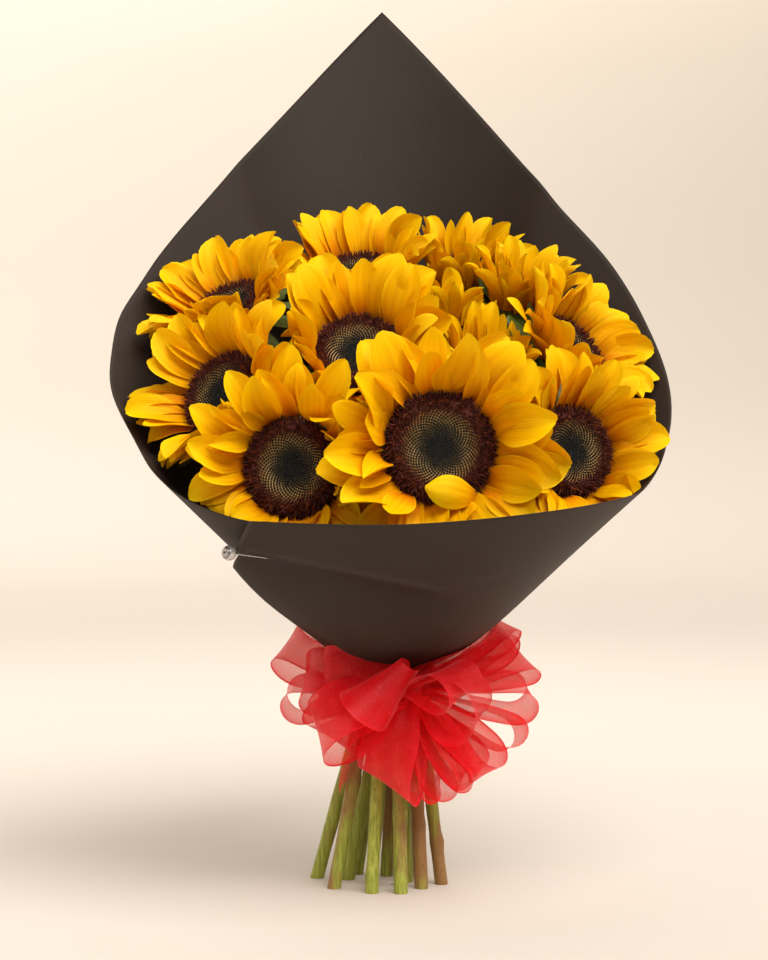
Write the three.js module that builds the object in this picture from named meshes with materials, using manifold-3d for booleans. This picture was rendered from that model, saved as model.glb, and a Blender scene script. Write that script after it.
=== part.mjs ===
// A hand-tied bunch of twelve sunflowers in a cone of dark paper, standing on its cut stems.
// Millimetres, +Z up. The front faces -Y and +X is to the right. The cut ends stand on z = 0.
import * as THREE from 'three';
import { mergeVertices } from 'three/addons/utils/BufferGeometryUtils.js';
import Module from 'manifold-3d';

const wasm = await Module();
wasm.setup();

// ---------------------------------------------------------------- driving dimensions
const STEM_RADIUS = 4.2;
const STEM_SIDES = 5;
const TIE_HEIGHT = 127; // the middle of the ribbon round the neck
const GAP = 0.3; // left between solids that touch

const PAPER = {
  thickness: 1,
  bottom: 119,
  neck: 134.5, // the cone opens from here
  neckRadius: 22,
  start: -178, // the edge under the lap, degrees round the neck: 0 is the back, 90 the right
  end: 211, // the edge on top, at the rim
  rows: 6,
};

// The sheet's upper corner, and how fast its two straight edges fall away from it.
const CORNER = { side: -7.7, height: 575.7, fallLeft: 1.2375, fallRight: 1.2333, from: -55, to: 60 };

// The rest of the paper's rim: the height of the sheet's edge at each angle round the neck.
const RIM = [
  [-178, 220], [-160, 224], [-145, 228.7], [-133, 238.6], [-121, 254], [-110.5, 276],
  [-104.5, 301], [-96.5, 329], [-90.5, 352], [-84.5, 372], [-78, 395], [-70.5, 419], [-55, 459],
  [60, 433], [73, 390], [79, 368], [85, 345], [92.5, 318], [102, 286.5], [107, 272], [112, 261],
  [121, 246.5], [133, 241], [145, 236], [153, 232.7], [166, 228.4], [180, 225.7], [195, 226],
  [211, 227],
];
const CORNER_COLUMNS = [-42, -28, -15, -2.8, 13, 30, 46];

// The top edge of the lap leans back from the rim down to the neck: [height, angle].
const LAP_EDGE = [[119, 255], [146, 250], [163, 237], [199, 229], [227, 211]];

const HEAD_DEPTH = 24; // from the rim of the disc back to where the stem begins
const PETAL = { root: 1.2, half: 10.2, thick: 1.5, cup: 0.22, claw: 0.36, bend: 30, stagger: 15 };
const SEPAL = { root: 0.86, height: -6.2, from: 114, to: 124, length: 25, half: 5, thick: 1.6, cup: -0.15 };
const DISC = { segments: 14, rings: [0.3, 0.58, 0.82, 1], relief: 0.45, inset: 0.4, plug: 4.4,
  under: -2.4 };

// Each flower: the middle of the disc's rim, where it faces (degrees to the right of the front,
// degrees up), the disc's radius, the petals' length, how far they open, the stem's place in the
// neck (angle, radius) and its cut end on the ground.
const FLOWERS = [
  { at: [25, -122, 268], face: [3, 5], disc: 31.5, petal: 43, open: 86,
    neck: [170, 14.2], foot: [4, -38] },
  { at: [-58, -100, 257], face: [-12, 2], disc: 29, petal: 41, open: 84,
    neck: [210, 14.2], foot: [-14, -37] },
  { at: [-100, -56, 300], face: [-36, 24], disc: 27.5, petal: 37, open: 82,
    neck: [250, 14.2], foot: [-38, -22] },
  { at: [-101, 2, 355], face: [-34, 50], disc: 25, petal: 36, open: 78,
    neck: [290, 14.8], foot: [-50, 14] },
  { at: [-22, -48, 325], face: [-5, 34], disc: 27.5, petal: 42, open: 80,
    neck: [200, 6.2], foot: [-15, -8] },
  { at: [-22, 44, 379], face: [-6, 56], disc: 25, petal: 39, open: 74,
    neck: [330, 14.2], foot: [-24, 27] },
  { at: [102, -74, 266], face: [26, 8], disc: 27, petal: 36, open: 80,
    neck: [130, 14.2], foot: [17, -22] },
  { at: [106, -13, 328], face: [46, 36], disc: 25, petal: 36, open: 78,
    neck: [90, 14.2], foot: [30, -8] },
  { at: [55, -42, 314], face: [12, 56], disc: 18, petal: 34, open: 58,
    neck: [80, 5.3], foot: [8, 0] },
  { at: [44, 60, 383], face: [4, 64], disc: 20, petal: 34, open: 62,
    neck: [10, 15.4], foot: [-5, 20] },
  { at: [33, 7, 346], face: [150, 82], disc: 17, petal: 32, open: 64,
    neck: [328, 6.5], foot: [-30, 8] },
  { at: [80, 23, 364], face: [14, 62], disc: 18, petal: 32, open: 62,
    neck: [50, 14.9], foot: [14, 16] },
];

const raysOf = (flower) => (flower.disc > 22 ? 9 : 7); // petals in each of a flower's two layers
const SEPALS = 8; // green bracts behind a flower

const BAND = { inner: 25, thick: 0.9, height: 14 };
const KNOT = { at: [6, -34, 123], size: [11, 8.5, 10] };
const RIBBON = { half: 19, pinch: 4, thick: 0.9 };

// The bow's loops: how far each reaches from the knot (right, back, up), how wide it opens, and
// how it is rolled about its own length, in degrees. The tails hang from the same knot.
const LOOPS = [
  { reach: [-77, 10, 2], open: 14, roll: 10 },
  { reach: [-66, -6, -26], open: 14, roll: -35 },
  { reach: [-44, -16, -50], open: 16, roll: 50 },
  { reach: [-28, -30, 4], open: 12, roll: 75 },
  { reach: [38, -10, -60], open: 15, roll: 60 },
  { reach: [36, -32, -14], open: 13, roll: -20 },
  { reach: [70, -8, -30], open: 15, roll: 40 },
  { reach: [76, 8, 4], open: 14, roll: -10 },
];
const TAILS = [
  { reach: [-20, -14, -72], roll: 70 },
  { reach: [14, -4, -76], roll: 105 },
];

// The pin lies along the lap: its bead stands off the paper at the edge, and its point is sunk
// in it. Each end is an angle round the neck, a height and how far off the paper's face.
const PIN = { head: 4.5, shaft: 0.5, from: [221, 208.3, 7.6], to: [207.5, 204.4, -0.2] };

// ---------------------------------------------------------------- colours and finishes
const finish = (color, roughness, metalness = 0) =>
  new THREE.MeshStandardMaterial({ color, roughness, metalness });
const FINISH = {
  paper: finish('#3b3431', 0.85),
  petal: finish('#ffb800', 0.55),
  disc: finish('#3a2018', 0.9),
  stem: finish('#77893a', 0.65),
  ribbon: finish('#d81e2c', 0.5),
  bead: finish('#e9e4dc', 0.2),
  steel: finish('#b9b9bd', 0.25, 1),
};

const model = new THREE.Group();

// Adds one named solid to the model.
function addSolid(name, solid, material) {
  const mesh = new THREE.Mesh(toGeometry(solid), material);
  mesh.name = name;
  model.add(mesh);
}

// ---------------------------------------------------------------- small mathematics
const GOLDEN = 0.6180339887;
const radians = THREE.MathUtils.degToRad;
const mix = THREE.MathUtils.lerp;

// An even scatter between -0.5 and 0.5, the same on every run.
function scatter(index, channel) {
  const value = (index * 7 + channel * 13 + 1) * GOLDEN;
  return value - Math.floor(value) - 0.5;
}

// A smooth step from 0 at `low` to 1 at `high`.
function ease(low, high, value) {
  const t = THREE.MathUtils.clamp((value - low) / (high - low), 0, 1);
  return t * t * (3 - 2 * t);
}

// The value at `x` on a line of straight stretches through the points [x, y].
function along(points, x) {
  const next = points.findIndex((point) => point[0] >= x);
  if (next === 0) return points[0][1];
  if (next < 0) return points[points.length - 1][1];
  const [x0, y0] = points[next - 1];
  const [x1, y1] = points[next];
  return mix(y0, y1, (x - x0) / (x1 - x0));
}

const vector = (x, y, z) => new THREE.Vector3(x, y, z);
const combine = (...terms) =>
  terms.reduce((sum, [v, k]) => sum.addScaledVector(v, k), new THREE.Vector3());

// ---------------------------------------------------------------- solids
// A closed three.js geometry becomes a solid that can be joined and cut.
function toSolid(geometry) {
  const bare = geometry.clone();
  bare.deleteAttribute('normal');
  bare.deleteAttribute('uv');
  const merged = mergeVertices(bare, 1e-4);
  return new wasm.Manifold(new wasm.Mesh({
    numProp: 3,
    vertProperties: new Float32Array(merged.attributes.position.array),
    triVerts: new Uint32Array(merged.index.array),
  }));
}

// A solid becomes a three.js geometry again.
function toGeometry(solid) {
  const mesh = solid.getMesh();
  const geometry = new THREE.BufferGeometry();
  geometry.setAttribute('position', new THREE.BufferAttribute(mesh.vertProperties, 3));
  geometry.setIndex(new THREE.BufferAttribute(mesh.triVerts, 1));
  geometry.computeVertexNormals();
  return geometry;
}

// Points and triangles become a solid, turned right side out where they wind the other way.
function solidOf(points, triangles) {
  let volume = 0;
  for (const [a, b, c] of triangles) {
    volume += points[a].dot(points[b].clone().cross(points[c]));
  }
  const outward = volume > 0 ? triangles : triangles.map(([a, b, c]) => [a, c, b]);
  return new wasm.Manifold(new wasm.Mesh({
    numProp: 3,
    vertProperties: new Float32Array(points.flatMap((p) => p.toArray())),
    triVerts: new Uint32Array(outward.flat()),
  }));
}

// A skin over rings of four points that ends in a flat cap and, where given, in a pointed tip.
function loft(rings, tip) {
  const points = rings.flat();
  const triangles = [[0, 1, 2], [0, 2, 3]];
  for (let ring = 0; ring + 1 < rings.length; ring += 1) {
    for (let side = 0; side < 4; side += 1) {
      const [a, b] = [ring * 4 + side, ring * 4 + ((side + 1) % 4)];
      // Both faces of a blade are split along the same diagonals, so they never cross.
      if (side % 2 === 0) triangles.push([a, a + 4, b + 4], [a, b + 4, b]);
      else triangles.push([a, a + 4, b], [b, a + 4, b + 4]);
    }
  }
  const last = (rings.length - 1) * 4;
  if (tip) {
    points.push(tip);
    const end = points.length - 1;
    for (let side = 0; side < 4; side += 1) {
      triangles.push([last + side, end, last + ((side + 1) % 4)]);
    }
  } else {
    triangles.push([last, last + 2, last + 1], [last, last + 3, last + 2]);
  }
  return solidOf(points, triangles);
}

// A sheet of even thickness: pointAt(column, v) gives a point of its outer face, where `columns`
// lists the places of its columns and v runs from 0 to 1 in even rows.
function thickSheet(places, rows, thickness, pointAt) {
  const outer = [];
  const inner = [];
  const columns = places.length - 1;
  const step = 1e-2;
  for (const place of places) {
    for (let j = 0; j <= rows; j += 1) {
      const v = j / rows;
      const before = Math.max(place - step, places[0]);
      const after = Math.min(place + step, places[columns]);
      const across = pointAt(after, v).sub(pointAt(before, v));
      const up = pointAt(place, Math.min(v + step, 1)).sub(pointAt(place, Math.max(v - step, 0)));
      const normal = up.cross(across).normalize();
      const point = pointAt(place, v);
      outer.push(point);
      inner.push(point.clone().addScaledVector(normal, -thickness));
    }
  }
  const at = (i, j) => i * (rows + 1) + j;
  const back = outer.length;
  const triangles = [];
  for (let i = 0; i < columns; i += 1) {
    for (let j = 0; j < rows; j += 1) {
      const [a, b, c, d] = [at(i, j), at(i + 1, j), at(i + 1, j + 1), at(i, j + 1)];
      triangles.push([a, b, c], [a, c, d]);
      triangles.push([back + a, back + c, back + b], [back + a, back + d, back + c]);
    }
  }
  const wall = (a, b) => triangles.push([b, a, back + a], [b, back + a, back + b]);
  for (let i = 0; i < columns; i += 1) {
    wall(at(i, 0), at(i + 1, 0));
    wall(at(i + 1, rows), at(i, rows));
  }
  for (let j = 0; j < rows; j += 1) {
    wall(at(0, j + 1), at(0, j));
    wall(at(columns, j), at(columns, j + 1));
  }
  return solidOf([...outer, ...inner], triangles);
}

// A solid of revolution: profile points are [radius, height]. It is turned about +Y and then
// stood in a frame, whose second axis is the one it turns about.
function turned(profile, segments, at, frame) {
  const lathe = new THREE.LatheGeometry(profile.map(([r, h]) => new THREE.Vector2(r, h)), segments);
  lathe.applyMatrix4(new THREE.Matrix4().makeBasis(...frame).setPosition(at));
  return toSolid(lathe);
}

// A right-handed frame whose second axis points along `axis`.
function frameAlong(axis, across = vector(0, 0, 1).cross(axis).normalize()) {
  return [across, axis, across.clone().cross(axis)];
}

// ---------------------------------------------------------------- the paper's form
// How fast the cone opens at an angle round the neck, as radius over height: nearly upright at
// the back, wide at the front, and a little drawn in on the left where the lap is pinned.
function paperForm(angle) {
  const right = ease(-60, 20, angle);
  const away = Math.abs(angle);
  const slopeRight = 0.26 + 1.18 * ease(50, 152, away) - 0.16 * ease(180, 211, angle);
  const slopeLeft = 0.29 + 1.1 * ease(52, 154, away);
  return {
    slope: mix(slopeLeft, slopeRight, right),
    flare: mix(8, 18, right), // the quick spread just above the neck
    lap: 2.2 * ease(120, 180, angle), // the lap lies on the left side of the sheet
  };
}

function paperRadius(angle, z) {
  const form = paperForm(angle);
  const rise = Math.max(z - PAPER.neck, 0);
  const flare = form.flare * (1 - Math.exp(-rise / 10));
  return PAPER.neckRadius + flare + form.slope * rise + form.lap;
}

// The height of the rim: on two straight lines down from the corner, and then by the list.
function rimHeight(angle) {
  if (angle <= CORNER.from || angle >= CORNER.to) return along(RIM, angle);
  let height = CORNER.height;
  for (let pass = 0; pass < 8; pass += 1) {
    const side = paperRadius(angle, height) * Math.sin(radians(angle)) - CORNER.side;
    height = CORNER.height - (side < 0 ? -side * CORNER.fallLeft : side * CORNER.fallRight);
  }
  return height;
}

// A point of the sheet's outer face: its angle at the rim, and v from the bottom up to the rim.
function paperPoint(rimAngle, v) {
  const collar = 1 / PAPER.rows; // the first row is the straight stretch round the neck
  const share = Math.max(v - collar, 0) / (1 - collar);
  const z = mix(PAPER.bottom, PAPER.neck, Math.min(v / collar, 1))
    + (rimHeight(rimAngle) - PAPER.neck) * share ** 1.4;
  const turn = (rimAngle - PAPER.start) / (PAPER.end - PAPER.start);
  const angle = mix(PAPER.start, along(LAP_EDGE, z), turn);
  const radius = paperRadius(angle, z);
  return vector(radius * Math.sin(radians(angle)), radius * Math.cos(radians(angle)), z);
}

// ---------------------------------------------------------------- the flowers' frames
const flowers = FLOWERS.map((row) => {
  const [side, up] = row.face.map(radians);
  const axis = vector(Math.sin(side) * Math.cos(up), -Math.cos(side) * Math.cos(up), Math.sin(up));
  const across = vector(0, 0, 1).cross(axis).normalize();
  const over = axis.clone().cross(across);
  const frame = frameAlong(axis, across);
  return { ...row, centre: vector(...row.at), axis, across, over, frame, walls: [] };
});

// A point of a flower's own frame: how far along its axis, and how far out at an angle.
function place(flower, height, radius, turn) {
  return combine(
    [flower.centre, 1],
    [flower.axis, height],
    [flower.across, radius * Math.cos(turn)],
    [flower.over, radius * Math.sin(turn)],
  );
}

// Discs that stand for the body of a head: [height along the axis, radius].
const bodyDiscs = (flower) => [
  [7, flower.disc * 0.8],
  [0, flower.disc + 4],
  [-12, flower.disc * 0.6],
  [-HEAD_DEPTH, STEM_RADIUS + 1],
];

// The point of a head's body that lies furthest along a direction.
function furthest(flower, way) {
  const flat = way.clone().addScaledVector(flower.axis, -way.dot(flower.axis)).normalize();
  const reaches = bodyDiscs(flower).map(([height, radius]) =>
    place(flower, height, 0, 0).addScaledVector(flat, radius));
  return reaches.reduce((best, point) => (point.dot(way) > best.dot(way) ? point : best));
}

// The nearest points of two heads. The line between the two guesses is shortened again and
// again towards the points that lie furthest along it.
function nearestPair(first, second) {
  const here = first.centre.clone();
  const there = second.centre.clone();
  for (let pass = 0; pass < 60; pass += 1) {
    const line = here.clone().sub(there);
    const mine = furthest(first, line.clone().negate());
    const theirs = furthest(second, line);
    const change = mine.clone().sub(theirs).sub(line);
    const share = THREE.MathUtils.clamp(-line.dot(change) / change.lengthSq(), 0, 1);
    here.lerp(mine, share);
    there.lerp(theirs, share);
  }
  return { here, there };
}

// A flat wall between each two heads: neither flower's petals cross it.
flowers.forEach((first, i) => {
  flowers.slice(i + 1).forEach((second) => {
    const { here, there } = nearestPair(first, second);
    const normal = here.clone().sub(there).normalize();
    const middle = here.clone().lerp(there, 0.5);
    first.walls.push({ normal, middle });
    second.walls.push({ normal: normal.clone().negate(), middle });
  });
});

// ---------------------------------------------------------------- the stems' routes
// A stem runs straight from the ground to the neck, and then bends over to the back of its head.
// It starts a little under the ground, where it is cut off level.
function stemPoints(flower) {
  const [angle, radius] = [radians(flower.neck[0]), flower.neck[1]];
  const foot = vector(flower.foot[0], flower.foot[1], -6);
  const neck = vector(radius * Math.sin(angle), radius * Math.cos(angle), TIE_HEIGHT);
  const joint = place(flower, -HEAD_DEPTH, 0, 0);
  const reach = neck.distanceTo(joint);
  const straight = neck.clone().sub(foot).normalize();
  const direct = joint.clone().sub(neck).normalize();
  const leave = combine([straight, 0.4], [direct, 0.6]);
  const upper = new THREE.CubicBezierCurve3(
    neck,
    neck.clone().addScaledVector(leave, reach * 0.4),
    joint.clone().addScaledVector(flower.axis, -reach * (0.26 - 0.17 * flower.axis.z)),
    joint,
  );
  const lower = [0, 0.4, 0.8].map((t) => foot.clone().lerp(neck, t));
  const inside = place(flower, -HEAD_DEPTH * 0.5, 0, 0);
  return [...lower, ...upper.getPoints(6), inside];
}

flowers.forEach((flower) => {
  flower.route = new THREE.CatmullRomCurve3(stemPoints(flower), false, 'centripetal');
  flower.routeLine = flower.route.getPoints(24);
});

// ---------------------------------------------------------------- clear of the neighbours
// How far a blade's points keep from a wall, from the paper and from the middle of a stem.
const ROOM = { wall: 0.6, paper: 3, stem: STEM_RADIUS + 5.2 };

function insidePaper(point) {
  const angle = THREE.MathUtils.radToDeg(Math.atan2(point.x, point.y));
  const inner = paperRadius(angle, point.z) - paperForm(angle).lap;
  return Math.hypot(point.x, point.y) < inner - ROOM.paper;
}

function insideWalls(flower, point) {
  return flower.walls.every((wall) => point.clone().sub(wall.middle).dot(wall.normal) > ROOM.wall);
}

function clearOfStems(flower, point) {
  return flowers.every((other) => other === flower
    || other.routeLine.every((spot) => spot.distanceTo(point) > ROOM.stem));
}

function isClear(flower, points) {
  return points.every((point) =>
    insidePaper(point) && insideWalls(flower, point) && clearOfStems(flower, point));
}

// ---------------------------------------------------------------- blades: petals and bracts
// The half width of a blade along its length, from a narrow claw to a pointed tip.
function bladeWidth(t, base) {
  const broad = 0.48; // where along it the blade has its full width
  const point = t > broad ? 1 - ((t - broad) / (1 - broad)) ** 1.8 : 1;
  return (base + (1 - base) * ease(0, broad, t)) * point;
}

// A point of a blade's middle surface: t along it, v from -1 to 1 across it. Its middle line
// leaves the flower's axis at `from` degrees and turns steadily to `to` degrees.
function bladePoint(flower, blade, t, v, rise = 0) {
  const [from, to] = [radians(blade.from), radians(blade.to)];
  const bend = Math.abs(to - from) < 1e-3 ? 1e-3 : to - from;
  const angle = from + bend * t;
  const outward = (blade.length * (Math.cos(from) - Math.cos(angle))) / bend;
  const forward = (blade.length * (Math.sin(angle) - Math.sin(from))) / bend;
  const half = blade.half * bladeWidth(t, blade.base);
  const twist = blade.twist * t;
  const lift = blade.cup * t * half * v * v + rise;
  const sway = blade.sway * t * t;
  const aside = half * v * Math.cos(twist) - lift * Math.sin(twist) + sway;
  const above = half * v * Math.sin(twist) + lift * Math.cos(twist);
  const tangent = blade.turn + Math.PI / 2;
  return place(
    flower,
    blade.height + forward + above * Math.sin(angle),
    blade.radius + outward - above * Math.cos(angle),
    blade.turn,
  ).addScaledVector(flower.across, aside * Math.cos(tangent))
    .addScaledVector(flower.over, aside * Math.sin(tangent));
}

// The stations of a blade: each ring has its left edge, top, right edge and underside.
function bladeRings(flower, blade) {
  const ring = (t) => {
    const thick = blade.thick * (1 - 0.35 * t) * 0.5;
    return [
      bladePoint(flower, blade, t, -1),
      bladePoint(flower, blade, t, 0, thick),
      bladePoint(flower, blade, t, 1),
      bladePoint(flower, blade, t, 0, -thick),
    ];
  };
  return { rings: blade.stations.map(ring), tip: bladePoint(flower, blade, 1, 0) };
}

// A blade that isn't clear is bent forward or back and shortened, and the smallest change that
// clears it is kept. A bend of 40 degrees counts as much as the loss of 0.4 of the length.
const LIFTS = [0, 8, -8, 16, 24, -12, 32, 40, 48, 56, 64];
const LENGTHS = [1, 0.85, 0.7, 0.55];
const CHANGES = LENGTHS.flatMap((scale) => LIFTS.map((lift) => ({ scale, lift })))
  .map((change) => ({ ...change, cost: Math.abs(change.lift) / 40 + (1 - change.scale) / 0.4 }))
  .sort((a, b) => a.cost - b.cost);

function fitBlade(flower, blade) {
  for (const { scale, lift } of CHANGES) {
    const tried = {
      ...blade,
      from: Math.max(blade.from - 0.5 * lift, 6),
      to: Math.max(blade.to - lift, 8),
      length: blade.length * scale,
    };
    const { rings, tip } = bladeRings(flower, tried);
    if (isClear(flower, [...rings.slice(1).flat(), tip])) return loft(rings, tip);
  }
  return null;
}

// ---------------------------------------------------------------- petals
function petalBlades(flower, index) {
  const blades = [];
  for (let layer = 0; layer < 2; layer += 1) {
    for (let k = 0; k < raysOf(flower); k += 1) {
      const seed = index * 31 + layer * 17 + k;
      const open = flower.open - PETAL.stagger * layer + 9 * scatter(seed, 1);
      blades.push({
        turn: ((k + 0.5 * layer + 0.3 * scatter(seed, 2)) / raysOf(flower)) * 2 * Math.PI + index,
        radius: flower.disc + PETAL.root - 0.8 * layer,
        height: -1.6 + 0.9 * layer,
        from: open + 6 - PETAL.bend,
        to: open + 6,
        length: flower.petal * (1 + 0.16 * scatter(seed, 3)),
        half: PETAL.half * (0.86 + flower.petal / 300) * (1 + 0.14 * scatter(seed, 4)),
        thick: PETAL.thick,
        cup: PETAL.cup,
        twist: 0.5 * scatter(seed, 5),
        sway: 7 * scatter(seed, 6),
        base: PETAL.claw,
        stations: layer === 0 ? [0, 0.5] : [0, 0.36, 0.72],
      });
    }
  }
  return blades;
}

// The ring of claws that the petals grow from, under the edge of the disc.
function petalCollar(flower) {
  const sides = 10;
  const flat = 1 / Math.cos(Math.PI / sides); // the flats of the ring keep its real radius
  const inner = (flower.disc - DISC.plug + 0.4) * flat;
  const outer = (flower.disc + 3.4) * flat;
  const top = (flower.disc + 1) * flat;
  const profile = [[inner, DISC.under], [outer, DISC.under], [top, -GAP], [inner, DISC.under]];
  return turned(profile, sides, flower.centre, flower.frame);
}

function makePetals(flower, index) {
  const petals = petalBlades(flower, index).map((blade) => fitBlade(flower, blade));
  return wasm.Manifold.union([petalCollar(flower), ...petals.filter(Boolean)]);
}

// ---------------------------------------------------------------- discs
// The height of the disc's face at a part of its radius: a shallow dish in the middle, a raised
// ring of open florets round it, and a fall to the rim.
function discHeight(part) {
  return 4.2 + 3.6 * ease(0.3, 0.78, part) - 6.2 * ease(0.82, 1.0, part);
}

// Rings of points from the middle of the face out to the rim, and on over the back: a flat rim,
// and a plug that sits in the ring of claws. Every second point of the face is raised.
function discRings(flower) {
  const edge = flower.disc - DISC.inset;
  const plug = flower.disc - DISC.plug;
  const last = DISC.rings.length - 1;
  const face = DISC.rings.map((part, ring) => ({
    radius: flower.disc * part - DISC.inset,
    height: discHeight(part),
    relief: DISC.relief,
    teeth: ring === last ? 0.7 : 0,
    shift: ring / 2,
  }));
  const back = [[edge - 1, 0], [plug, 0], [plug, DISC.under]].map(([radius, height]) => (
    { radius, height, relief: 0, teeth: 0, shift: last / 2 }));
  return [...face, ...back];
}

function makeDisc(flower) {
  const { segments } = DISC;
  const rings = discRings(flower);
  const points = [place(flower, discHeight(0), 0, 0)];
  rings.forEach((ring, number) => {
    for (let k = 0; k < segments; k += 1) {
      const low = (k + number) % 2;
      const turn = ((k + ring.shift) / segments) * 2 * Math.PI;
      const height = ring.height + ring.relief * (1 - 2 * low);
      points.push(place(flower, height, ring.radius - ring.teeth * low, turn));
    }
  });
  points.push(place(flower, DISC.under, 0, 0));
  const triangles = [];
  const start = (ring) => 1 + ring * segments;
  for (let k = 0; k < segments; k += 1) {
    const next = (k + 1) % segments;
    triangles.push([0, 1 + k, 1 + next]);
    for (let ring = 0; ring + 1 < rings.length; ring += 1) {
      const [a, b] = [start(ring) + k, start(ring) + next];
      const [c, d] = [start(ring + 1) + k, start(ring + 1) + next];
      triangles.push([a, c, b], [b, c, d]);
    }
    const last = start(rings.length - 1);
    triangles.push([last + k, points.length - 1, last + next]);
  }
  return solidOf(points, triangles);
}

// ---------------------------------------------------------------- stems, receptacles, bracts
function stemTube(flower) {
  const corners = Array.from({ length: STEM_SIDES }, (_, k) => {
    const turn = (k / STEM_SIDES) * 2 * Math.PI;
    return new THREE.Vector2(STEM_RADIUS * Math.cos(turn), STEM_RADIUS * Math.sin(turn));
  });
  const options = { steps: 11, extrudePath: flower.route };
  return toSolid(new THREE.ExtrudeGeometry(new THREE.Shape(corners), options));
}

// The receptacle swells from the end of the stem to the back of the petals' ring.
function receptacle(flower) {
  const top = DISC.under - GAP;
  const profile = [
    [0, -HEAD_DEPTH], [STEM_RADIUS - 2, -HEAD_DEPTH], [flower.disc * 0.64, -11],
    [flower.disc, -5], [flower.disc - 1, top], [0, top],
  ];
  return turned(profile, SEPALS, flower.centre, flower.frame);
}

function sepalBlades(flower, index) {
  return Array.from({ length: SEPALS }, (_, k) => {
    const seed = index * 23 + k;
    return {
      turn: ((k + 0.5 + 0.2 * scatter(seed, 7)) / SEPALS) * 2 * Math.PI,
      radius: flower.disc * SEPAL.root,
      height: SEPAL.height,
      from: SEPAL.from,
      to: SEPAL.to + 14 * scatter(seed, 8),
      length: SEPAL.length * (1 + 0.3 * scatter(seed, 9)),
      half: SEPAL.half,
      thick: SEPAL.thick,
      cup: SEPAL.cup,
      twist: 0,
      sway: 0,
      base: 0.9,
      stations: [0],
    };
  });
}

function makeStem(flower, index) {
  const sepals = sepalBlades(flower, index).map((blade) => fitBlade(flower, blade));
  const pieces = [stemTube(flower), receptacle(flower), ...sepals.filter(Boolean)];
  return wasm.Manifold.union(pieces).trimByPlane([0, 0, 1], 0);
}

// ---------------------------------------------------------------- ribbon
// The frame of a loop or tail: ahead from the knot, the way it opens, and across the ribbon.
function loopFrame(row) {
  const reach = vector(...row.reach);
  const length = reach.length();
  const ahead = reach.clone().normalize();
  const level = vector(0, 0, 1).cross(ahead).normalize();
  const upright = ahead.clone().cross(level);
  const roll = radians(row.roll);
  const open = combine([upright, Math.cos(roll)], [level, Math.sin(roll)]);
  return { length, ahead, open, across: ahead.clone().cross(open) };
}

// Rings of four points along a ribbon. It is pinched to a narrow bundle where it meets the knot,
// and `toKnot` gives how far along a sample is from there.
function ribbonRings(samples, route, toKnot, frame) {
  const step = 1e-3;
  return samples.map((t) => {
    const way = route(Math.min(t + step, 1)).sub(route(Math.max(t - step, 0))).normalize();
    const face = way.clone().cross(frame.across).normalize();
    const half = mix(RIBBON.pinch, RIBBON.half, ease(0, 0.28, toKnot(t)));
    return [[-1, 0.5], [1, 0.5], [1, -0.5], [-1, -0.5]].map(([side, up]) =>
      combine([route(t), 1], [frame.across, side * half], [face, up * RIBBON.thick]));
  });
}

// A loop goes out from the knot, round and back, like a drop.
function makeLoop(row) {
  const frame = loopFrame(row);
  const route = (t) => combine(
    [vector(...KNOT.at), 1],
    [frame.ahead, frame.length * Math.sin(Math.PI * t) ** 0.9],
    [frame.open, -row.open * Math.sin(2 * Math.PI * t) * (0.6 + 0.4 * Math.sin(Math.PI * t))],
  );
  const samples = [0.05, 0.22, 0.37, 0.5, 0.63, 0.78, 0.95];
  return loft(ribbonRings(samples, route, (t) => Math.min(t, 1 - t), frame));
}

function makeTail(row) {
  const frame = loopFrame(row);
  const route = (t) => combine(
    [vector(...KNOT.at), 1],
    [frame.ahead, frame.length * t],
    [frame.open, 7 * Math.sin(2 * Math.PI * t) * t],
  );
  return loft(ribbonRings([0.08, 0.5, 1], route, (t) => t, frame));
}

function makeBow() {
  const knot = new THREE.SphereGeometry(1, 8, 6);
  knot.scale(...KNOT.size);
  knot.translate(...KNOT.at);
  return wasm.Manifold.union([toSolid(knot), ...LOOPS.map(makeLoop), ...TAILS.map(makeTail)]);
}

function makeBand() {
  const { inner, thick, height } = BAND;
  const profile = [
    [inner, -height / 2], [inner + thick, -height / 2], [inner + thick, height / 2],
    [inner, height / 2], [inner, -height / 2],
  ];
  const upright = frameAlong(vector(0, 0, 1), vector(1, 0, 0));
  return turned(profile, 20, vector(0, 0, TIE_HEIGHT), upright);
}

// ---------------------------------------------------------------- pin
// A point at an angle and a height, so far off the paper's face.
function offPaper([angle, z, off]) {
  const radius = paperRadius(angle, z) + off;
  return vector(radius * Math.sin(radians(angle)), radius * Math.cos(radians(angle)), z);
}

const pinFrom = offPaper(PIN.from);
const pinTo = offPaper(PIN.to);
const pinWay = pinTo.clone().sub(pinFrom).normalize();
const pinLength = pinTo.distanceTo(pinFrom);

function rod(radius, from, length) {
  const profile = [[0, 0], [radius, 0], [radius, length], [0, length]];
  return turned(profile, 8, from, frameAlong(pinWay));
}

// A round bead, as a half circle turned about the pin.
function makePinHead() {
  const steps = 6;
  const profile = Array.from({ length: steps + 1 }, (_, k) => {
    const angle = (k / steps) * Math.PI;
    const radius = k % steps === 0 ? 0 : PIN.head * Math.sin(angle);
    return [radius, -PIN.head * Math.cos(angle)];
  });
  return turned(profile, 9, pinFrom, frameAlong(pinWay));
}

// ---------------------------------------------------------------- the whole bunch
const shaftFrom = pinFrom.clone().addScaledVector(pinWay, PIN.head + GAP);
const shaft = rod(PIN.shaft, shaftFrom, pinLength - PIN.head - GAP);
const groove = rod(PIN.shaft + GAP, shaftFrom, pinLength);
const paperColumns = [...RIM.map(([angle]) => angle), ...CORNER_COLUMNS].sort((a, b) => a - b);
const sheet = thickSheet(paperColumns, PAPER.rows, PAPER.thickness, paperPoint);

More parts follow.
